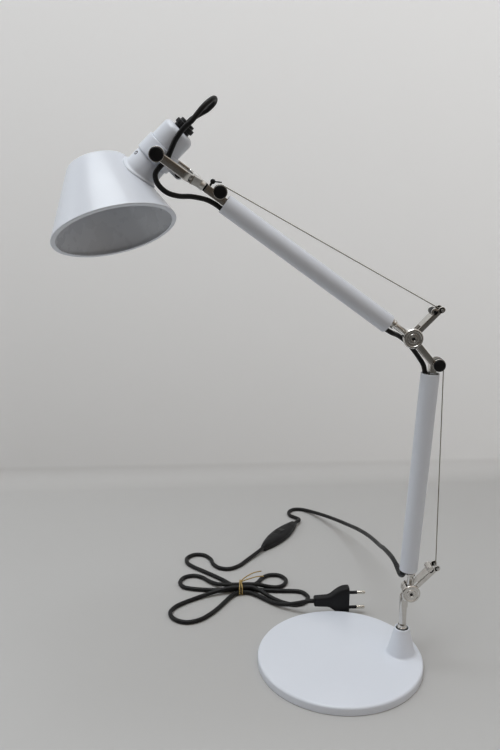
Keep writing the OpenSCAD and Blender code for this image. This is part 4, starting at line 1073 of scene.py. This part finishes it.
@dataclass
class Head(Assembly):
    """Ring, rear cap, gland, neck and shade."""

    ring: float = 17.0
    bore: float = 14.05
    half_ring: float = 8.0
    boss: Span = (3.05, 6.7)
    boss_reach: Span = (15.6, 21.15)
    ear: Span = (15.4, 24.5)
    ear_half: float = 4.5
    ear_sides: tuple[Span, Span] = ((0.45, 4.0), (-4.0, -0.45))
    rear: float = 15.25
    rear_top: float = 27.5
    rear_edge: float = 5.2
    rear_bore: float = 12.0
    spigot: float = 13.95
    gland_hole: float = 5.1
    gland_bore: float = 2.6
    nut: float = 9.2
    notches: int = 12
    notch_depth: float = 0.03
    neck_reach: float = 23.4
    neck_bore: float = 12.6
    mouth: float = 56.5
    crown: float = 27.0
    height: float = 65.0
    wall: float = 1.2
    lip: float = 3.4
    crown_back: float = 25.0
    screw_turn: float = 58.0

    def build(self) -> None:
        """Makes the head's pieces."""
        self.build_ring()
        self.build_rear()
        self.build_gland()
        self.build_shade()
        self.build_neck()
        self.build_neck_screw()
        f = self.finishes
        self.dress(f.dark_screw, "ring_screw")
        self.dress(f.holder, "lampholder")
        self.dress(f.glass, "bulb")

    def build_ring(self) -> None:
        """Makes the ring with its two pivot bosses and the clamp ear."""
        half = self.half_ring
        hoop = turned_body(ring_profile(self.bore, self.ring, -half, half, 0.9), 128, True).at(HEAD)
        (hole, r), (low, high) = self.boss, self.boss_reach
        profile = rounded([(hole, low), (r, low), (r, high), (hole, high)], [0.1, 0.1, 0.6, 0.2], 4,
                          closed=True)
        bosses = [turned_body(profile, 64, True).at(across(HEAD).turned("x", turn)) for turn in (0, 180)]
        line = np.array([(x, 0) for x in self.ear], float)
        wide, ends = self.ear_half, (0.1, self.ear_half)
        ears = [strip(line, wide, ends, side, 0.6).at(HEAD) for side in self.ear_sides]
        self.put("head_clamp_ring", [hoop] + bosses + ears, [self.finishes.paint], "head", "white_paint",
                 ["head_ring"])

    def build_rear(self) -> None:
        """Makes the rear cap: a short drum with a well rounded edge."""
        r, low, top, bore = self.rear, self.half_ring + 0.05, self.rear_top, self.rear_bore
        outer = rounded([(bore, 2.6), (self.spigot, 2.6), (self.spigot, low), (r, low), (r, top),
                         (self.gland_hole, top), (self.gland_hole, top - 2), (bore, top - 2)],
                        [0.1, 0.3, 0.1, 0.4, self.rear_edge, 0.2, 0.2, 3.0], 9, closed=True)
        self.put("rear_drum_cap", [turned_body(outer, 128, True).at(HEAD)], [self.finishes.paint], "head",
                 "white_paint", ["rear_cap"])

    def build_gland(self) -> None:
        """Makes the cord gland: a collar, a nut with notched sides and a stepped mouth.

        The nut's radius is drawn in by the notch's share wherever a cosine of the way round is high.
        """
        low, bore, nut = self.rear_top + 0.05, self.gland_bore, self.nut
        profile = rounded([(bore, low - 3.4), (4.95, low - 3.4), (4.95, low), (7.7, low), (7.7, low + 2.0),
                           (nut, low + 2.4), (nut, low + 6.2), (6.9, low + 6.6), (6.9, low + 8.9),
                           (bore, low + 8.9)],
                          [0.1, 0.2, 0.1, 0.2, 0.2, 0.3, 0.4, 0.2, 0.5, 0.3], 4, closed=True)
        a = np.linspace(0, FULL_TURN, 144, endpoint=False)
        r, z = profile[:, :1], profile[:, 1:]
        notch = 1 - self.notch_depth * (np.cos(self.notches * a) > 0.35) * (r > nut - 0.8)
        grid = np.stack([r * notch * np.cos(a), r * notch * np.sin(a), z + 0 * a], axis=-1)
        self.put("rear_cord_gland", [net(grid, wrap_rows=True).at(HEAD)], [self.finishes.black], "head",
                 "black_plastic", ["cord_gland"], 30)

    def standing(self) -> Place:
        """Place of the shade as it stands on its mouth, seen from the shade's frame."""
        slope = math.degrees(math.atan2(self.mouth - self.crown, self.height))
        laid = WORLD.moved(-self.crown_back, 0, -self.neck_reach).turned("y", slope - 90)
        return laid.moved(-self.crown, 0, -self.height)

    def build_shade(self) -> None:
        """Makes the shade: a slanted wall, a rounded crown and an inward lip, paler outside than inside."""
        slant = math.atan2(self.mouth - self.crown, self.height)
        inset = self.wall / math.cos(slant)
        m, c, h, lip = self.mouth, self.crown, self.height, self.mouth - inset - self.lip
        outside = rounded([(lip, 0.05), (m - 0.1, 0.02), (c, h), (0, h)], [0, 0.8, 4.6, 0], 9)
        inside = rounded([(0, h - self.wall), (c - inset, h - self.wall), (m - inset - 0.5, self.wall),
                          (lip, self.wall), (lip, 0.05)], [0, 3.6, 0.4, 0.2, 0], 9)
        place = Place(SHADE.matrix @ self.standing().matrix)
        walls = [turned_body(outside, 192).at(place), turned_body(inside, 192).finished(1).at(place)]
        self.put("shade_cone", walls, [self.finishes.paint, self.finishes.inside], "shade", "white_paint",
                 ["shade"], 60)

    def build_neck(self) -> None:
        """Makes the neck, whose foot and flange follow the shade's cone all the way round."""
        to_cone = np.linalg.inv(self.standing().matrix)
        slope = (self.mouth - self.crown) / self.height
        a = np.linspace(0, FULL_TURN, 128, endpoint=False)

        def level(radius: float, height: float) -> Array:
            """A circle of the given radius at one height."""
            return np.stack([radius * np.cos(a), radius * np.sin(a), np.full_like(a, height)], axis=-1)

        def foot(radius: float, rise: float) -> Array:
            """A circle of the given radius that stays at one rise over the cone."""
            x, y = radius * np.cos(a), radius * np.sin(a)
            return np.stack([x, y, cone_height(to_cone, x, y, self.mouth, slope) + rise], axis=-1)

        r, bore, top = self.rear, self.neck_bore, -self.half_ring - 0.2
        shoulder = ((bore, 0.6), (r - 0.6, 0.0), (r - 0.2, -0.2), (r, -0.7))
        flare = ((0.7, 3.4), (0.95, 2.2), (1.5, 1.75), (2.2, 1.6), (2.6, 1.35), (2.75, 0.9), (2.75, 0.06))
        rows = [level(radius, top + up) for radius, up in shoulder]
        rows += [foot(r + out, up) for out, up in flare] + [foot(bore, 0.06)]
        spigot = turned_body(ring_profile(bore, self.spigot, top - 0.5, top + 5.0, 0.3), 96, True)
        self.put("shade_neck_collar", [net(np.stack(rows), wrap_rows=True).at(SHADE), spigot.at(SHADE)],
                 [self.finishes.paint], "shade", "white_paint", ["shade_neck"], 45)

    def build_neck_screw(self) -> None:
        """Makes the small screw in the neck's side; the floor of its socket is black, painted shade in the
        recess.
        """
        seat = SHADE.turned("z", self.screw_turn).moved(-self.rear, 0, -self.half_ring - 5).turned("y", -90)
        screw = turned_body(ring_profile(0.9, 2.0, -0.8, 0.35, 0.2), 32, True).at(seat)
        # Painted shade: a black disc at the socket's floor darkens the recess.
        socket = turned_body(solid_profile(0.95, -0.8, 0.1, 0.05), 24).finished(1).at(seat)
        f = self.finishes
        self.put("neck_set_screw", [screw, socket], [f.dark_screw, f.black], "shade", "screw_steel",
                 ["neck_screw"])


@dataclass
class Wires(Assembly):
    """The two balance wires."""

    diameter: float = 1.0
    radius: float = 6.0
    tube_x: float = -3.0
    pin_along: float = Pivot.pin_along
    pin_up: float = Pivot.pin_up
    pin_radius: float = Pivot.pin_radius
    lower_angle: float = 49.3
    upper_angle: float = -8.0
    bend_share: float = 0.22

    def line(self, lever_angle: float, end: float) -> tuple[Array, Array]:
        """Middle line of a wire in its arm's frame, and the stretch from its anchor to the pulley.

        The wire leaves its pin along the pulley's tangent, follows a circle over the pulley and goes
        down the tube.

        Args:
            lever_angle: angle of the lever in the arm's frame.
            end: place of the tube's end.

        Returns:
            The line's points, and its first point with the point where it meets the pulley.
        """
        a = math.radians(lever_angle)
        ahead, up = np.array([math.cos(a), math.sin(a)]), np.array([-math.sin(a), math.cos(a)])
        start = self.pin_along * ahead + self.pin_up * up
        top = np.array([PULLEY_X, end + PULLEY_RISE])
        gap = top - start
        way = math.atan2(gap[1], gap[0]) - math.asin(self.radius / np.linalg.norm(gap))
        square = way - math.pi / 2
        first = start + (self.pin_radius + 0.15) * np.array([math.cos(way), math.sin(way)])
        touch = top + self.radius * np.array([math.cos(square), math.sin(square)])
        run = first + np.linspace(0, 1, 72)[:-1, None] * (touch - first)
        turn = np.linspace(square, math.pi, 24)
        bend = top + self.radius * np.stack([np.cos(turn), np.sin(turn)], axis=1)
        flat = np.vstack([run, bend, [[self.tube_x, end - 4], [self.tube_x, end - 19.7]]])
        return np.insert(flat, 1, 0.0, axis=1), np.insert(np.array([first, touch]), 1, 0.0, axis=1)

    def build(self) -> None:
        """Makes both wires, each running from its lever to its arm."""
        runs = (("lower", LOWER, self.lower_angle, LOWER_END, ("stem", "lower_arm")),
                ("upper", UPPER, self.upper_angle, UPPER_END, ("lower_arm", "upper_arm")))
        for name, place, angle, end, bodies in runs:
            line, reach = self.line(angle, end)
            wire = round_tube(place.points(line), self.diameter, 10)
            piece = self.put(name + "_balance_wire", [wire], [self.finishes.wire], None, "spring_steel",
                             [name + "_wire"])
            first, touch = place.points(reach) * MM
            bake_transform(piece)


@dataclass
class ArmCords(Assembly):
    """The black cord inside the arms, across the elbow and round the head."""

    diameter: float = 4.6
    tube_gap: float = 0.1
    elbow_route: Array = field(default_factory=lambda: np.array([
        [15.4, 2.5, -27.2], [11.8, 7.6, -21], [7.2, 12, -14.9], [1.3, 14, -8.8], [-5.4, 12.6, -3.6],
        [-12, 7.8, 0.2], [-18.6, 2.2, 3.1]]))
    head_route: Array = field(default_factory=lambda: np.array([
        [-9.8, -1, -5.3], [-14.8, -4, 5.9], [-20.8, -8, 15.1], [-24.2, -12, 25], [-22.9, -15.5, 35.2],
        [-17.2, -17.5, 41.8]]))
    fork_hold: Point = (-5.4, -18.7, -8.2)
    gland_route: Array = field(default_factory=lambda: np.array([
        [0, -18.5, -9.8], [6.1, -18.5, -8.5], [19.3, -18.5, -6.1], [31, -18.2, -6.6], [39, -17.6, -8.4],
        [46.5, -17, -9], [55, -15.4, -9.8], [62.4, -10.8, -11.6], [65, -3.4, -13.4], [61.8, 3.4, -14.6],
        [54.4, 6, -13.4], [46.5, 3.2, -9.8]]))

    def cord(self, name: str, line: Array, bodies: tuple[str, str], span: tuple[Array, Array],
             node: str) -> None:
        """Makes one free stretch across its joint.

        Args:
            name: the piece's name.
            line: its points in millimetres.
            bodies: the bodies at its start and end; not used.
            span: where the bend starts and ends; not used.
            node: the CAD node that it stands for.
        """
        tube = round_tube(line, self.diameter, CORD_SIDES)
        piece = self.put(name, [tube], [self.finishes.sheath], None, "cord_sheath", [node])
        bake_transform(piece)

    def build(self) -> None:
        """Makes the stretches in the tubes and the three free ones."""
        x = ARM_CORD_X
        for name, place, foot, end in (("lower", LOWER, LOWER_FOOT, LOWER_END),
                                       ("upper", UPPER, UPPER_FOOT, UPPER_END)):
            along = np.linspace(foot + self.tube_gap, end - self.tube_gap, 30)
            inner = place.points(np.stack([np.full_like(along, x), np.zeros_like(along), along], axis=1))
            self.put(name + "_inner_cord", [round_tube(inner, self.diameter, CORD_SIDES)],
                     [self.finishes.sheath], name + "_arm", "cord_sheath", [name + "_tube_cord"])
        elbow = np.vstack([LOWER.points([[x, 0, LOWER_END]]), ELBOW.points(self.elbow_route),
                           UPPER.points([[x, 0, UPPER_FOOT]])])
        self.cord("elbow_loop_cord", smooth_line(elbow, 9), ("lower_arm", "upper_arm"),
                  (elbow[1], elbow[-2]), "elbow_cord")
        hold = FORK_EYES.points([self.fork_hold])
        head = np.vstack([UPPER.points([[x, 0, UPPER_END], [x, 0, UPPER_END + 7]]),
                          UPPER.moved(0, 0, SWIVEL).points(self.head_route), hold])
        self.cord("head_loop_cord", smooth_line(head, 9), ("upper_arm", "fork"),
                  (head[1], head[-2]), "head_cord")
        into_gland = HEAD.points([[0, 0, 40.5], [0, 0, 33.5]])
        gland = np.vstack([hold, FORK_EYES.points(self.gland_route), into_gland])
        self.cord("gland_loop_cord", smooth_line(gland, 9), ("fork", "head"),
                  (gland[1], gland[4]), "gland_cord")


@dataclass
class MainsCord(Assembly):
    """Mains cord with its relief, inline switch, tied hank and plug."""

    diameter: float = 5.0
    lead: Array = field(default_factory=lambda: np.array([
        [61.8, 48, 93.8], [62.7, 85, 84.6], [67, 122, 69.8], [67.4, 175, 55], [64.5, 228, 39.5],
        [57, 272, 27], [47, 308, 18], [34.5, 340, 10.5], [21, 366, 4.6], [8, 379, 2.6], [-4.5, 379, 2.5],
        [-11.5, 370, 2.5], [-11, 358.5, 2.5], [-5, 350.5, 3], [-0.6, 343, 3.9], [-0.6, 336, 4.8]]))
    run: Array = field(default_factory=lambda: np.array([
        [-82, 224, 2.9], [-94, 209, 2.5], [-107, 201.5, 2.5], [-119.5, 205, 2.5], [-127, 216, 2.5],
        [-130, 229, 2.5], [-138.5, 240.5, 2.5], [-151, 242.5, 2.5], [-160.5, 234, 2.5], [-160.5, 221, 2.5],
        [-152.5, 209.5, 2.5], [-140, 197.5, 2.5], [-127.5, 185.5, 2.5]]))
    hank: Array = field(default_factory=lambda: np.array([
        [-116, 173.5, 2.6], [-109.5, 165, 2.9], [-103, 157.6, 3.3], [-95, 154.4, 3.4], [-87, 154.4, 3.4],
        [-79.5, 157.4, 3.1], [-72.5, 165.3, 2.7], [-66.4, 175.8, 2.5], [-57, 182.2, 2.5], [-45, 180.8, 2.5],
        [-37.8, 169.6, 2.5], [-41.3, 157.6, 2.5], [-50, 152, 2.6], [-60, 151.3, 3.8], [-72, 151.4, 6.7],
        [-83, 151.3, 8], [-95, 151.2, 8.1], [-105, 151.7, 7.9], [-114, 154.4, 6.6], [-124, 161.5, 4.1],
        [-133, 171.3, 2.7], [-141, 181, 2.5], [-151.8, 186.4, 2.5], [-163.6, 182.4, 2.5],
        [-168.6, 170.4, 2.5], [-164, 159, 2.5], [-152.5, 153.9, 2.5], [-140, 151.3, 2.5],
        [-126, 149.2, 2.7], [-112, 148.1, 3.2], [-103, 148, 3.4], [-95, 148, 3.4], [-87, 148, 3.4],
        [-78, 147, 3.2], [-66, 145.4, 2.7], [-50, 143.4, 2.5], [-33, 142, 2.5], [-21.6, 138.6, 2.5],
        [-15.8, 127, 2.5], [-20.5, 116, 2.5], [-31, 111, 2.5], [-42.5, 113.8, 2.5], [-53.5, 121.5, 2.7],
        [-63.5, 131, 3.8], [-72.5, 139, 6.2], [-81, 143.9, 8], [-88, 144.8, 8.1], [-95, 144.8, 8.1],
        [-103, 144.7, 8], [-113, 143.9, 7], [-124, 142, 5.2], [-137, 137.8, 3.4], [-150, 131, 2.6],
        [-163, 122.6, 2.5], [-173.5, 113, 2.5], [-178.5, 100.5, 2.5], [-172.5, 87, 2.5], [-159, 80.5, 2.5],
        [-144.5, 85, 2.5], [-133, 95.5, 2.5], [-123, 108.5, 2.6], [-114.5, 122, 2.8], [-107, 133.2, 3.1],
        [-99, 139.8, 3.4], [-91, 141.5, 3.4], [-84, 139.6, 3.3], [-77, 134.5, 3], [-69.5, 127, 2.8]]))
    tail: Array = field(default_factory=lambda: np.array([
        [-61.5, 118.6, 3], [-52, 110, 4.4], [-42, 103.2, 7.6], [-32, 97.6, 12], [-24, 93.8, 15.8]]))
    relief: Array = field(default_factory=lambda: np.array([
        [-8.1, 3.8, 15.4], [-8, 9.8, 13.4], [-7.8, 18, 13.2], [-7.7, 28, 13.6]]))
    relief_ends: Span = (7.2, 5.4)
    rib_depth: float = 0.5
    rib_step: float = 1.57
    switch_length: float = 104.0
    switch_width: float = 21.5
    switch_end: float = 46.0
    switch_seam: float = 5.46
    switch_lower: Sequence[Span] = (
        (0.05, 0.3), (0.05, 0.84), (0.4, 0.88), (1.2, 0.93), (2.4, 0.97), (4.0, 0.995), (5.1, 0.995),
        (5.4, 0.98), (5.4, 0.3))
    switch_upper: Sequence[Span] = (
        (5.55, 0.3), (5.55, 0.98), (5.9, 0.995), (7.0, 0.99), (8.4, 0.95), (9.7, 0.87), (10.7, 0.76),
        (11.4, 0.62), (11.8, 0.45), (11.95, 0.3))
    plug_at: Point = (0.0, 92.3, 17.5)
    plug_face: float = 26.0
    plug_corner: float = 0.42
    plug_stations: Sequence[Point] = (
        (-14, 3.9, 3.4), (-13.7, 4.9, 4.3), (-12.8, 5.5, 4.8), (-8, 5.8, 4.9), (-3, 6.1, 4.9),
        (1, 6.4, 5.0), (3.4, 7.0, 5.3), (5.4, 8.1, 5.7), (7.6, 9.8, 6.1), (9.8, 11.6, 6.4),
        (12, 13.3, 6.6), (14.4, 14.9, 6.7), (17, 16.2, 6.8), (19.6, 17.1, 6.85), (22.2, 17.5, 6.85),
        (25.2, 17.5, 6.85), (25.8, 17.2, 6.6), (26, 16.8, 6.2))
    pin_apart: float = 18.6
    tie_at: Point = (-95.0, 148.0, 0.0)
    tie_half: float = 10.3
    tie_reach: Span = (0.75, 11.3)
    tie_thick: float = 1.4

    def build(self) -> None:
        """Makes the plug, the switch, the tie and the cord."""
        plug = self.build_plug()
        switch = self.build_switch()
        tie = self.build_tie()
        relief = self.build_relief()
        self.build_lead(relief[-1:], switch)
        self.build_run(plug, tie)

    def build_relief(self) -> Array:
        """Makes the ribbed, tapered sleeve where the cord leaves the lower tube.

        Returns:
            Points of the sleeve's middle line.
        """
        start = LOWER.points([[ARM_CORD_X, 0, LOWER_FOOT - 0.3], [ARM_CORD_X, 0, LOWER_FOOT - 3]])
        relief = smooth_line(np.vstack([start, LOWER.points(self.relief)]), 10)
        ribs = self.rib_depth * (np.sin(np.arange(len(relief)) * self.rib_step) > 0.5)
        sleeve = round_tube(relief, np.linspace(*self.relief_ends, len(relief)) - ribs, 24)
        piece = self.put("cord_relief_sleeve", [sleeve], [self.finishes.black], None, "cord_sheath",
                         ["cord_relief"], 60)
        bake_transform(piece)
        return relief

    def build_lead(self, start: Array, switch: list[Piece]) -> None:
        """Makes the stretch from the relief to the switch.

        Args:
            start: where it leaves the relief.
            switch: pieces of the switch on its far end; not used.
        """
        end = SWITCH.points([[self.switch_end + 4, 0, self.switch_seam],
                             [self.switch_end, 0, self.switch_seam]])
        lead = smooth_line(np.vstack([start, self.lead, end]), 8)
        tube = round_tube(lead, self.diameter, CORD_SIDES)
        flex = self.put("mains_lead", [tube], [self.finishes.sheath], None, "cord_sheath", ["cord_lead"])
        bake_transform(flex)

    def build_run(self, plug: Piece, tie: Piece) -> None:
        """Makes the stretch from the switch through the tied hank to the plug.

        Args:
            plug: the plug on its far end; not used.
            tie: the tie round the hank; not used.
        """
        first = SWITCH.points([[-self.switch_end, 0, self.switch_seam],
                               [-self.switch_end - 6, 0, self.switch_seam - 0.6]])
        plug_end = np.array(self.plug_at) + [[-18, 0, 0], [-13, 0, 0]]
        line = smooth_line(np.vstack([first, self.run, self.hank, self.tail, plug_end]), 8)
        tube = round_tube(line, self.diameter, CORD_SIDES)
        flex = self.put("mains_cord", [tube], [self.finishes.sheath], "base", "cord_sheath",
                        ["cord_run", "cord_hank", "cord_tail"])

    def build_plug(self) -> Piece:
        """Makes the flat plug: a square neck that flares to a flat head, with two sleeved pins.

        At each station the outline is (deep |cos a|^k, high |sin a|^k), with the signs of cos and sin.

        Returns:
            The plug.
        """
        x, high, deep = np.array(self.plug_stations, float).T
        a = np.linspace(0, FULL_TURN, 72, endpoint=False)
        c, s = np.cos(a), np.sin(a)
        y = deep[:, None] * np.sign(c) * np.abs(c) ** self.plug_corner
        z = high[:, None] * np.sign(s) * np.abs(s) ** self.plug_corner
        place = WORLD.moved(*self.plug_at)
        shapes = [net(closed_ends(np.stack([x[:, None] + 0 * a, y, z], axis=-1))).at(place)]
        sleeve = turned_body(solid_profile(1.85, -1, 10, 0.1), 40)
        tip = rounded([(0, 9.5), (2.0, 9.5), (2.0, 18.0), (1.2, 19.0), (0, 19.0)], [0, 0.1, 0.9, 0.6, 0], 4)
        for side in (-self.pin_apart / 2, self.pin_apart / 2):
            pin = place.moved(self.plug_face, 0, side).turned("y", 90)
            shapes += [sleeve.at(pin), turned_body(tip, 40).finished(1).at(pin)]
        return self.put("two_pin_plug", shapes, [self.finishes.switch, self.finishes.nickel], "base",
                        "black_plastic", ["plug"], 45)

    def leaf(self, sides: int = 120) -> Array:
        """Outline of the switch, a leaf of two equal arcs cut off square at its ends.

        Args:
            sides: points round the outline.

        Returns:
            The outline's points.
        """
        length, width, end = self.switch_length, self.switch_width, self.switch_end
        t = np.linspace(0, FULL_TURN, sides, endpoint=False)
        r = (length ** 2 + width ** 2) / (4 * width)
        x = np.clip(0.5 * length * np.cos(t) * 1.02, -end, end)
        y = np.maximum(np.sqrt(np.maximum(r ** 2 - x ** 2, 0)) - (r - width / 2), 0)
        return np.stack([x, np.sign(np.sin(t)) * y * np.minimum(1, 4 * np.abs(np.sin(t)))], axis=1)

    def build_switch(self) -> list[Piece]:
        """Makes the switch's two domed halves, which meet in a seam, and dresses its rocker.

        A half is a stack of leaf outlines, each at its height and drawn in by its scale.

        Returns:
            The pieces of the switch.
        """
        x, y = self.leaf().T
        pieces = []
        for name, node, rows in (("switch_lower_half", "switch_base", self.switch_lower),
                                 ("switch_upper_half", "switch_cover", self.switch_upper)):
            height, scale = np.array(rows).T[:, :, None]
            grid = np.stack([x * (0.35 + 0.65 * scale), y * scale, height + 0 * x], axis=-1)
            dome = net(closed_ends(grid)).at(SWITCH)
            piece = self.put(name, [dome], [self.finishes.switch], "base", "black_plastic", [node], 50)
            pieces.append(piece)
        self.dress(self.finishes.black, "switch_rocker")
        return pieces + [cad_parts["switch_rocker"]]

    def build_tie(self) -> Piece:
        """Makes the wire tie: two turns round the waist and two loose ends."""
        half, (low, top) = self.tie_half, self.tie_reach
        shapes = []
        for shift, lean in ((-1.1, 0.6), (0.9, -0.5)):
            near, far = shift - lean, shift + lean
            corners = [(near, -half, low), (far, half, low), (far, half, top), (near, -half, top)]
            loop = rounded(corners, 3.2, 6, closed=True) + self.tie_at
            shapes.append(round_tube(np.vstack([loop, loop[:2]]), self.tie_thick, 10))
        ends = ([(0, 3, 11.2), (3, 5, 14), (9, 8, 17), (17, 10.5, 19.5), (26, 12, 20.5)],
                [(0, 2, 11.2), (4, 2.5, 13.6), (12, 3, 16), (20, 3.5, 17.8), (28, 3, 18.5)])
        shapes += [round_tube(smooth_line(end, 8) + self.tie_at, self.tie_thick, 10) for end in ends]
        return self.put("hank_wire_tie", shapes, [self.finishes.tie], "base", "tie_tan", ["cord_tie"])


@dataclass
class Stage:
    """Floor, wall, light and camera."""

    wall_y: float = 500.0
    wall_top: float = 2600.0
    wall_foot: float = 60.0
    floor_half: float = 6000.0
    half_width: float = 5000.0
    floor_colour: Colour = (0.491, 0.487, 0.481)
    wall_colour: Colour = (0.87, 0.88, 0.89)
    front_shade_colour: Colour = (0.09, 0.087, 0.083)
    warm_light: Colour = (1.0, 0.84, 0.69)
    cool_light: Colour = (1.0, 0.99, 0.975)
    lamp_colour: Colour = (0.89, 0.952, 1.0)
    camera: Point = (-140.31, -713.93, 492.23)
    look: Point = (0.06252, 0.96678, -0.24786)
    roll: float = 0.2
    lens: float = 37.92

    def build(self) -> None:
        """Makes the stage."""
        self.build_room()
        self.build_light()
        self.build_camera()

    def room_finish(self) -> Material:
        """Matt pale paper, paler up the wall, with painted shade far in front and a painted glow on the wall,
        clear from its back.
        """
        n = Nodes(bpy.data.materials.new("pale_backdrop"))
        here = n.place()
        spot = n.apart(here)
        upright = n.ranged(spot["Z"], 0, 1, 0.0, 0.035)
        pale = n.mixed(upright, self.floor_colour, self.wall_colour)
        # Painted shade: the floor turns dark far in front, standing for the unlit room that the chrome parts
        # reflect.
        behind = n.ranged(spot["Y"], 0, 1, -1.1, -0.25)
        n.set(Base_Color=n.mixed(behind, self.front_shade_colour, pale), Specular_IOR_Level=0.2,
              Roughness=n.ranged(n.noise(here, 12, 3), 0.75, 0.9))
        n.bump(n.noise(here, 260, 2), 0.00005, 0.3)
        # Painted light: the wall glows, brighter upwards and to the right, in place of light falling on it;
        # only camera, glossy and transmission rays see the glow.
        seen = n.add("LightPath").outputs
        rays = n.reckon("ADD", seen["Is Camera Ray"], seen["Is Glossy Ray"])
        shown = n.reckon("ADD", rays, seen["Is Transmission Ray"], clamp=True)
        glow_upwards = n.ranged(spot["Z"], 0.0, 0.25, 0.04, 0.72)
        sideways = n.ranged(spot["X"], 0.01, 0.12, -0.42, 0.42)
        painted_wall_glow = n.reckon("MULTIPLY", n.reckon("ADD", glow_upwards, sideways), upright)
        n.set(Emission_Color=(1.0, 1.0, 1.0, 1.0), Emission_Strength=n.reckon("MULTIPLY", painted_wall_glow, shown))
        side = n.add("MixShader", Fac=n.add("NewGeometry").outputs["Backfacing"])
        n.plug(side, 1, n.shader.outputs["BSDF"])
        n.plug(side, 2, n.add("BsdfTransparent").outputs["BSDF"])
        n.plug(n.tree.nodes["Material Output"], "Surface", side.outputs["Shader"])
        return n.block

    def build_room(self) -> None:
        """Makes a wide floor, and a wall that rises from it behind the lamp in a rounded corner."""
        y, foot = self.wall_y, self.wall_foot
        finish = self.room_finish()
        floor = np.array([(-self.floor_half, 0.0), (self.floor_half, 0.0)])
        wall = rounded([(y - foot, 0), (y, 0), (y, self.wall_top)], [0, foot - 0.1, 0], 16)
        x = np.linspace(-self.half_width, self.half_width, 9)
        for name, profile in (("floor", floor), ("wall", wall)):
            back, up = profile[:, :1], profile[:, 1:]
            grid = np.stack([x + 0 * back, back + 0 * x, up + 0 * x], axis=-1)
            sheet = make_piece(name, [net(grid, wrap_columns=False)], [finish], 60)
            if sheet.data.polygons[0].normal.z < 0:
                sheet.data.flip_normals()

    def build_light(self) -> None:
        """Sets a soft room light, bright above and behind and dark towards the viewer, and two soft lamps."""
        world = bpy.data.worlds.new("studio")
        bpy.context.scene.world = world
        n = Nodes(world, "Background")
        way = n.apart(n.place("Generated"))
        above, behind = n.ranged(way["Z"], 0.07, 0.75, 0.35, 1.0), n.ranged(way["Y"], 0.0, 0.3, -0.2, 0.9)
        right = n.ranged(way["X"], 0.0, 0.3, 0.1, 0.9)
        n.set(Strength=n.reckon("ADD", n.reckon("ADD", above, behind), right),
              Color=n.mixed(n.ranged(way["Y"], 0, 1, -0.8, 0.1), self.warm_light, self.cool_light))
        self.lamp("overhead", (-700, -150, 4000), (-60, 50, 200), 2.6, 92)
        self.lamp("left_side", (-1500, 250, 900), (-60, 0, 250), 0.8, 3.2)

    def lamp(self, name: str, at: Point, target: Point, size: float, power: float) -> None:
        """Adds a square soft lamp.

        Args:
            name: its name.
            at: its place.
            target: the point that it faces.
            size: side in metres.
            power: power in watts.
        """
        data = bpy.data.lights.new(name, "AREA")
        data.size, data.energy = size, power
        data.color = self.lamp_colour
        lamp = bpy.data.objects.new(name, data)
        place = Vector(at) * MM
        lamp.location = place
        lamp.rotation_euler = (Vector(target) * MM - place).to_track_quat("-Z", "Y").to_euler()
        bpy.context.scene.collection.objects.link(lamp)

    def build_camera(self) -> None:
        """Sets the camera where the photograph was taken."""
        data = bpy.data.cameras.new("camera")
        data.lens, data.sensor_width, data.clip_end = self.lens, 36.0, 20.0
        camera = bpy.data.objects.new("camera", data)
        camera.location = Vector(self.camera) * MM
        roll = Matrix.Rotation(math.radians(self.roll), 3, "Z")
        turn = Vector(self.look).to_track_quat("-Z", "Y").to_matrix() @ roll
        camera.rotation_euler = turn.to_euler()
        bpy.context.scene.collection.objects.link(camera)
        bpy.context.scene.camera = camera
        bpy.context.scene.view_settings.view_transform = "Standard"


def main() -> None:
    """Builds the stage and the lamp, group by group."""
    logging.basicConfig(level=logging.INFO, format="%(message)s")
    finishes = Finishes()
    Stage().build()
    MainsCord(finishes).build()
    ArmCords(finishes).build()
    Base(finishes).build()
    Stem(finishes).build()
    Pivot(finishes, "lower", "stem", STAND, 46.5, finishes.lower_disc, True).build()
    Pivot(finishes, "elbow", "lower_arm", ELBOW, 49.0, finishes.elbow_disc).build()
    Arm(finishes, "lower", "lower_arm", LOWER, LOWER_FOOT, LOWER_END).build()
    Arm(finishes, "upper", "upper_arm", UPPER, UPPER_FOOT, UPPER_END).build()
    Fork(finishes).build()
    Head(finishes).build()
    Wires(finishes).build()


if __name__ == "__main__":
    main()
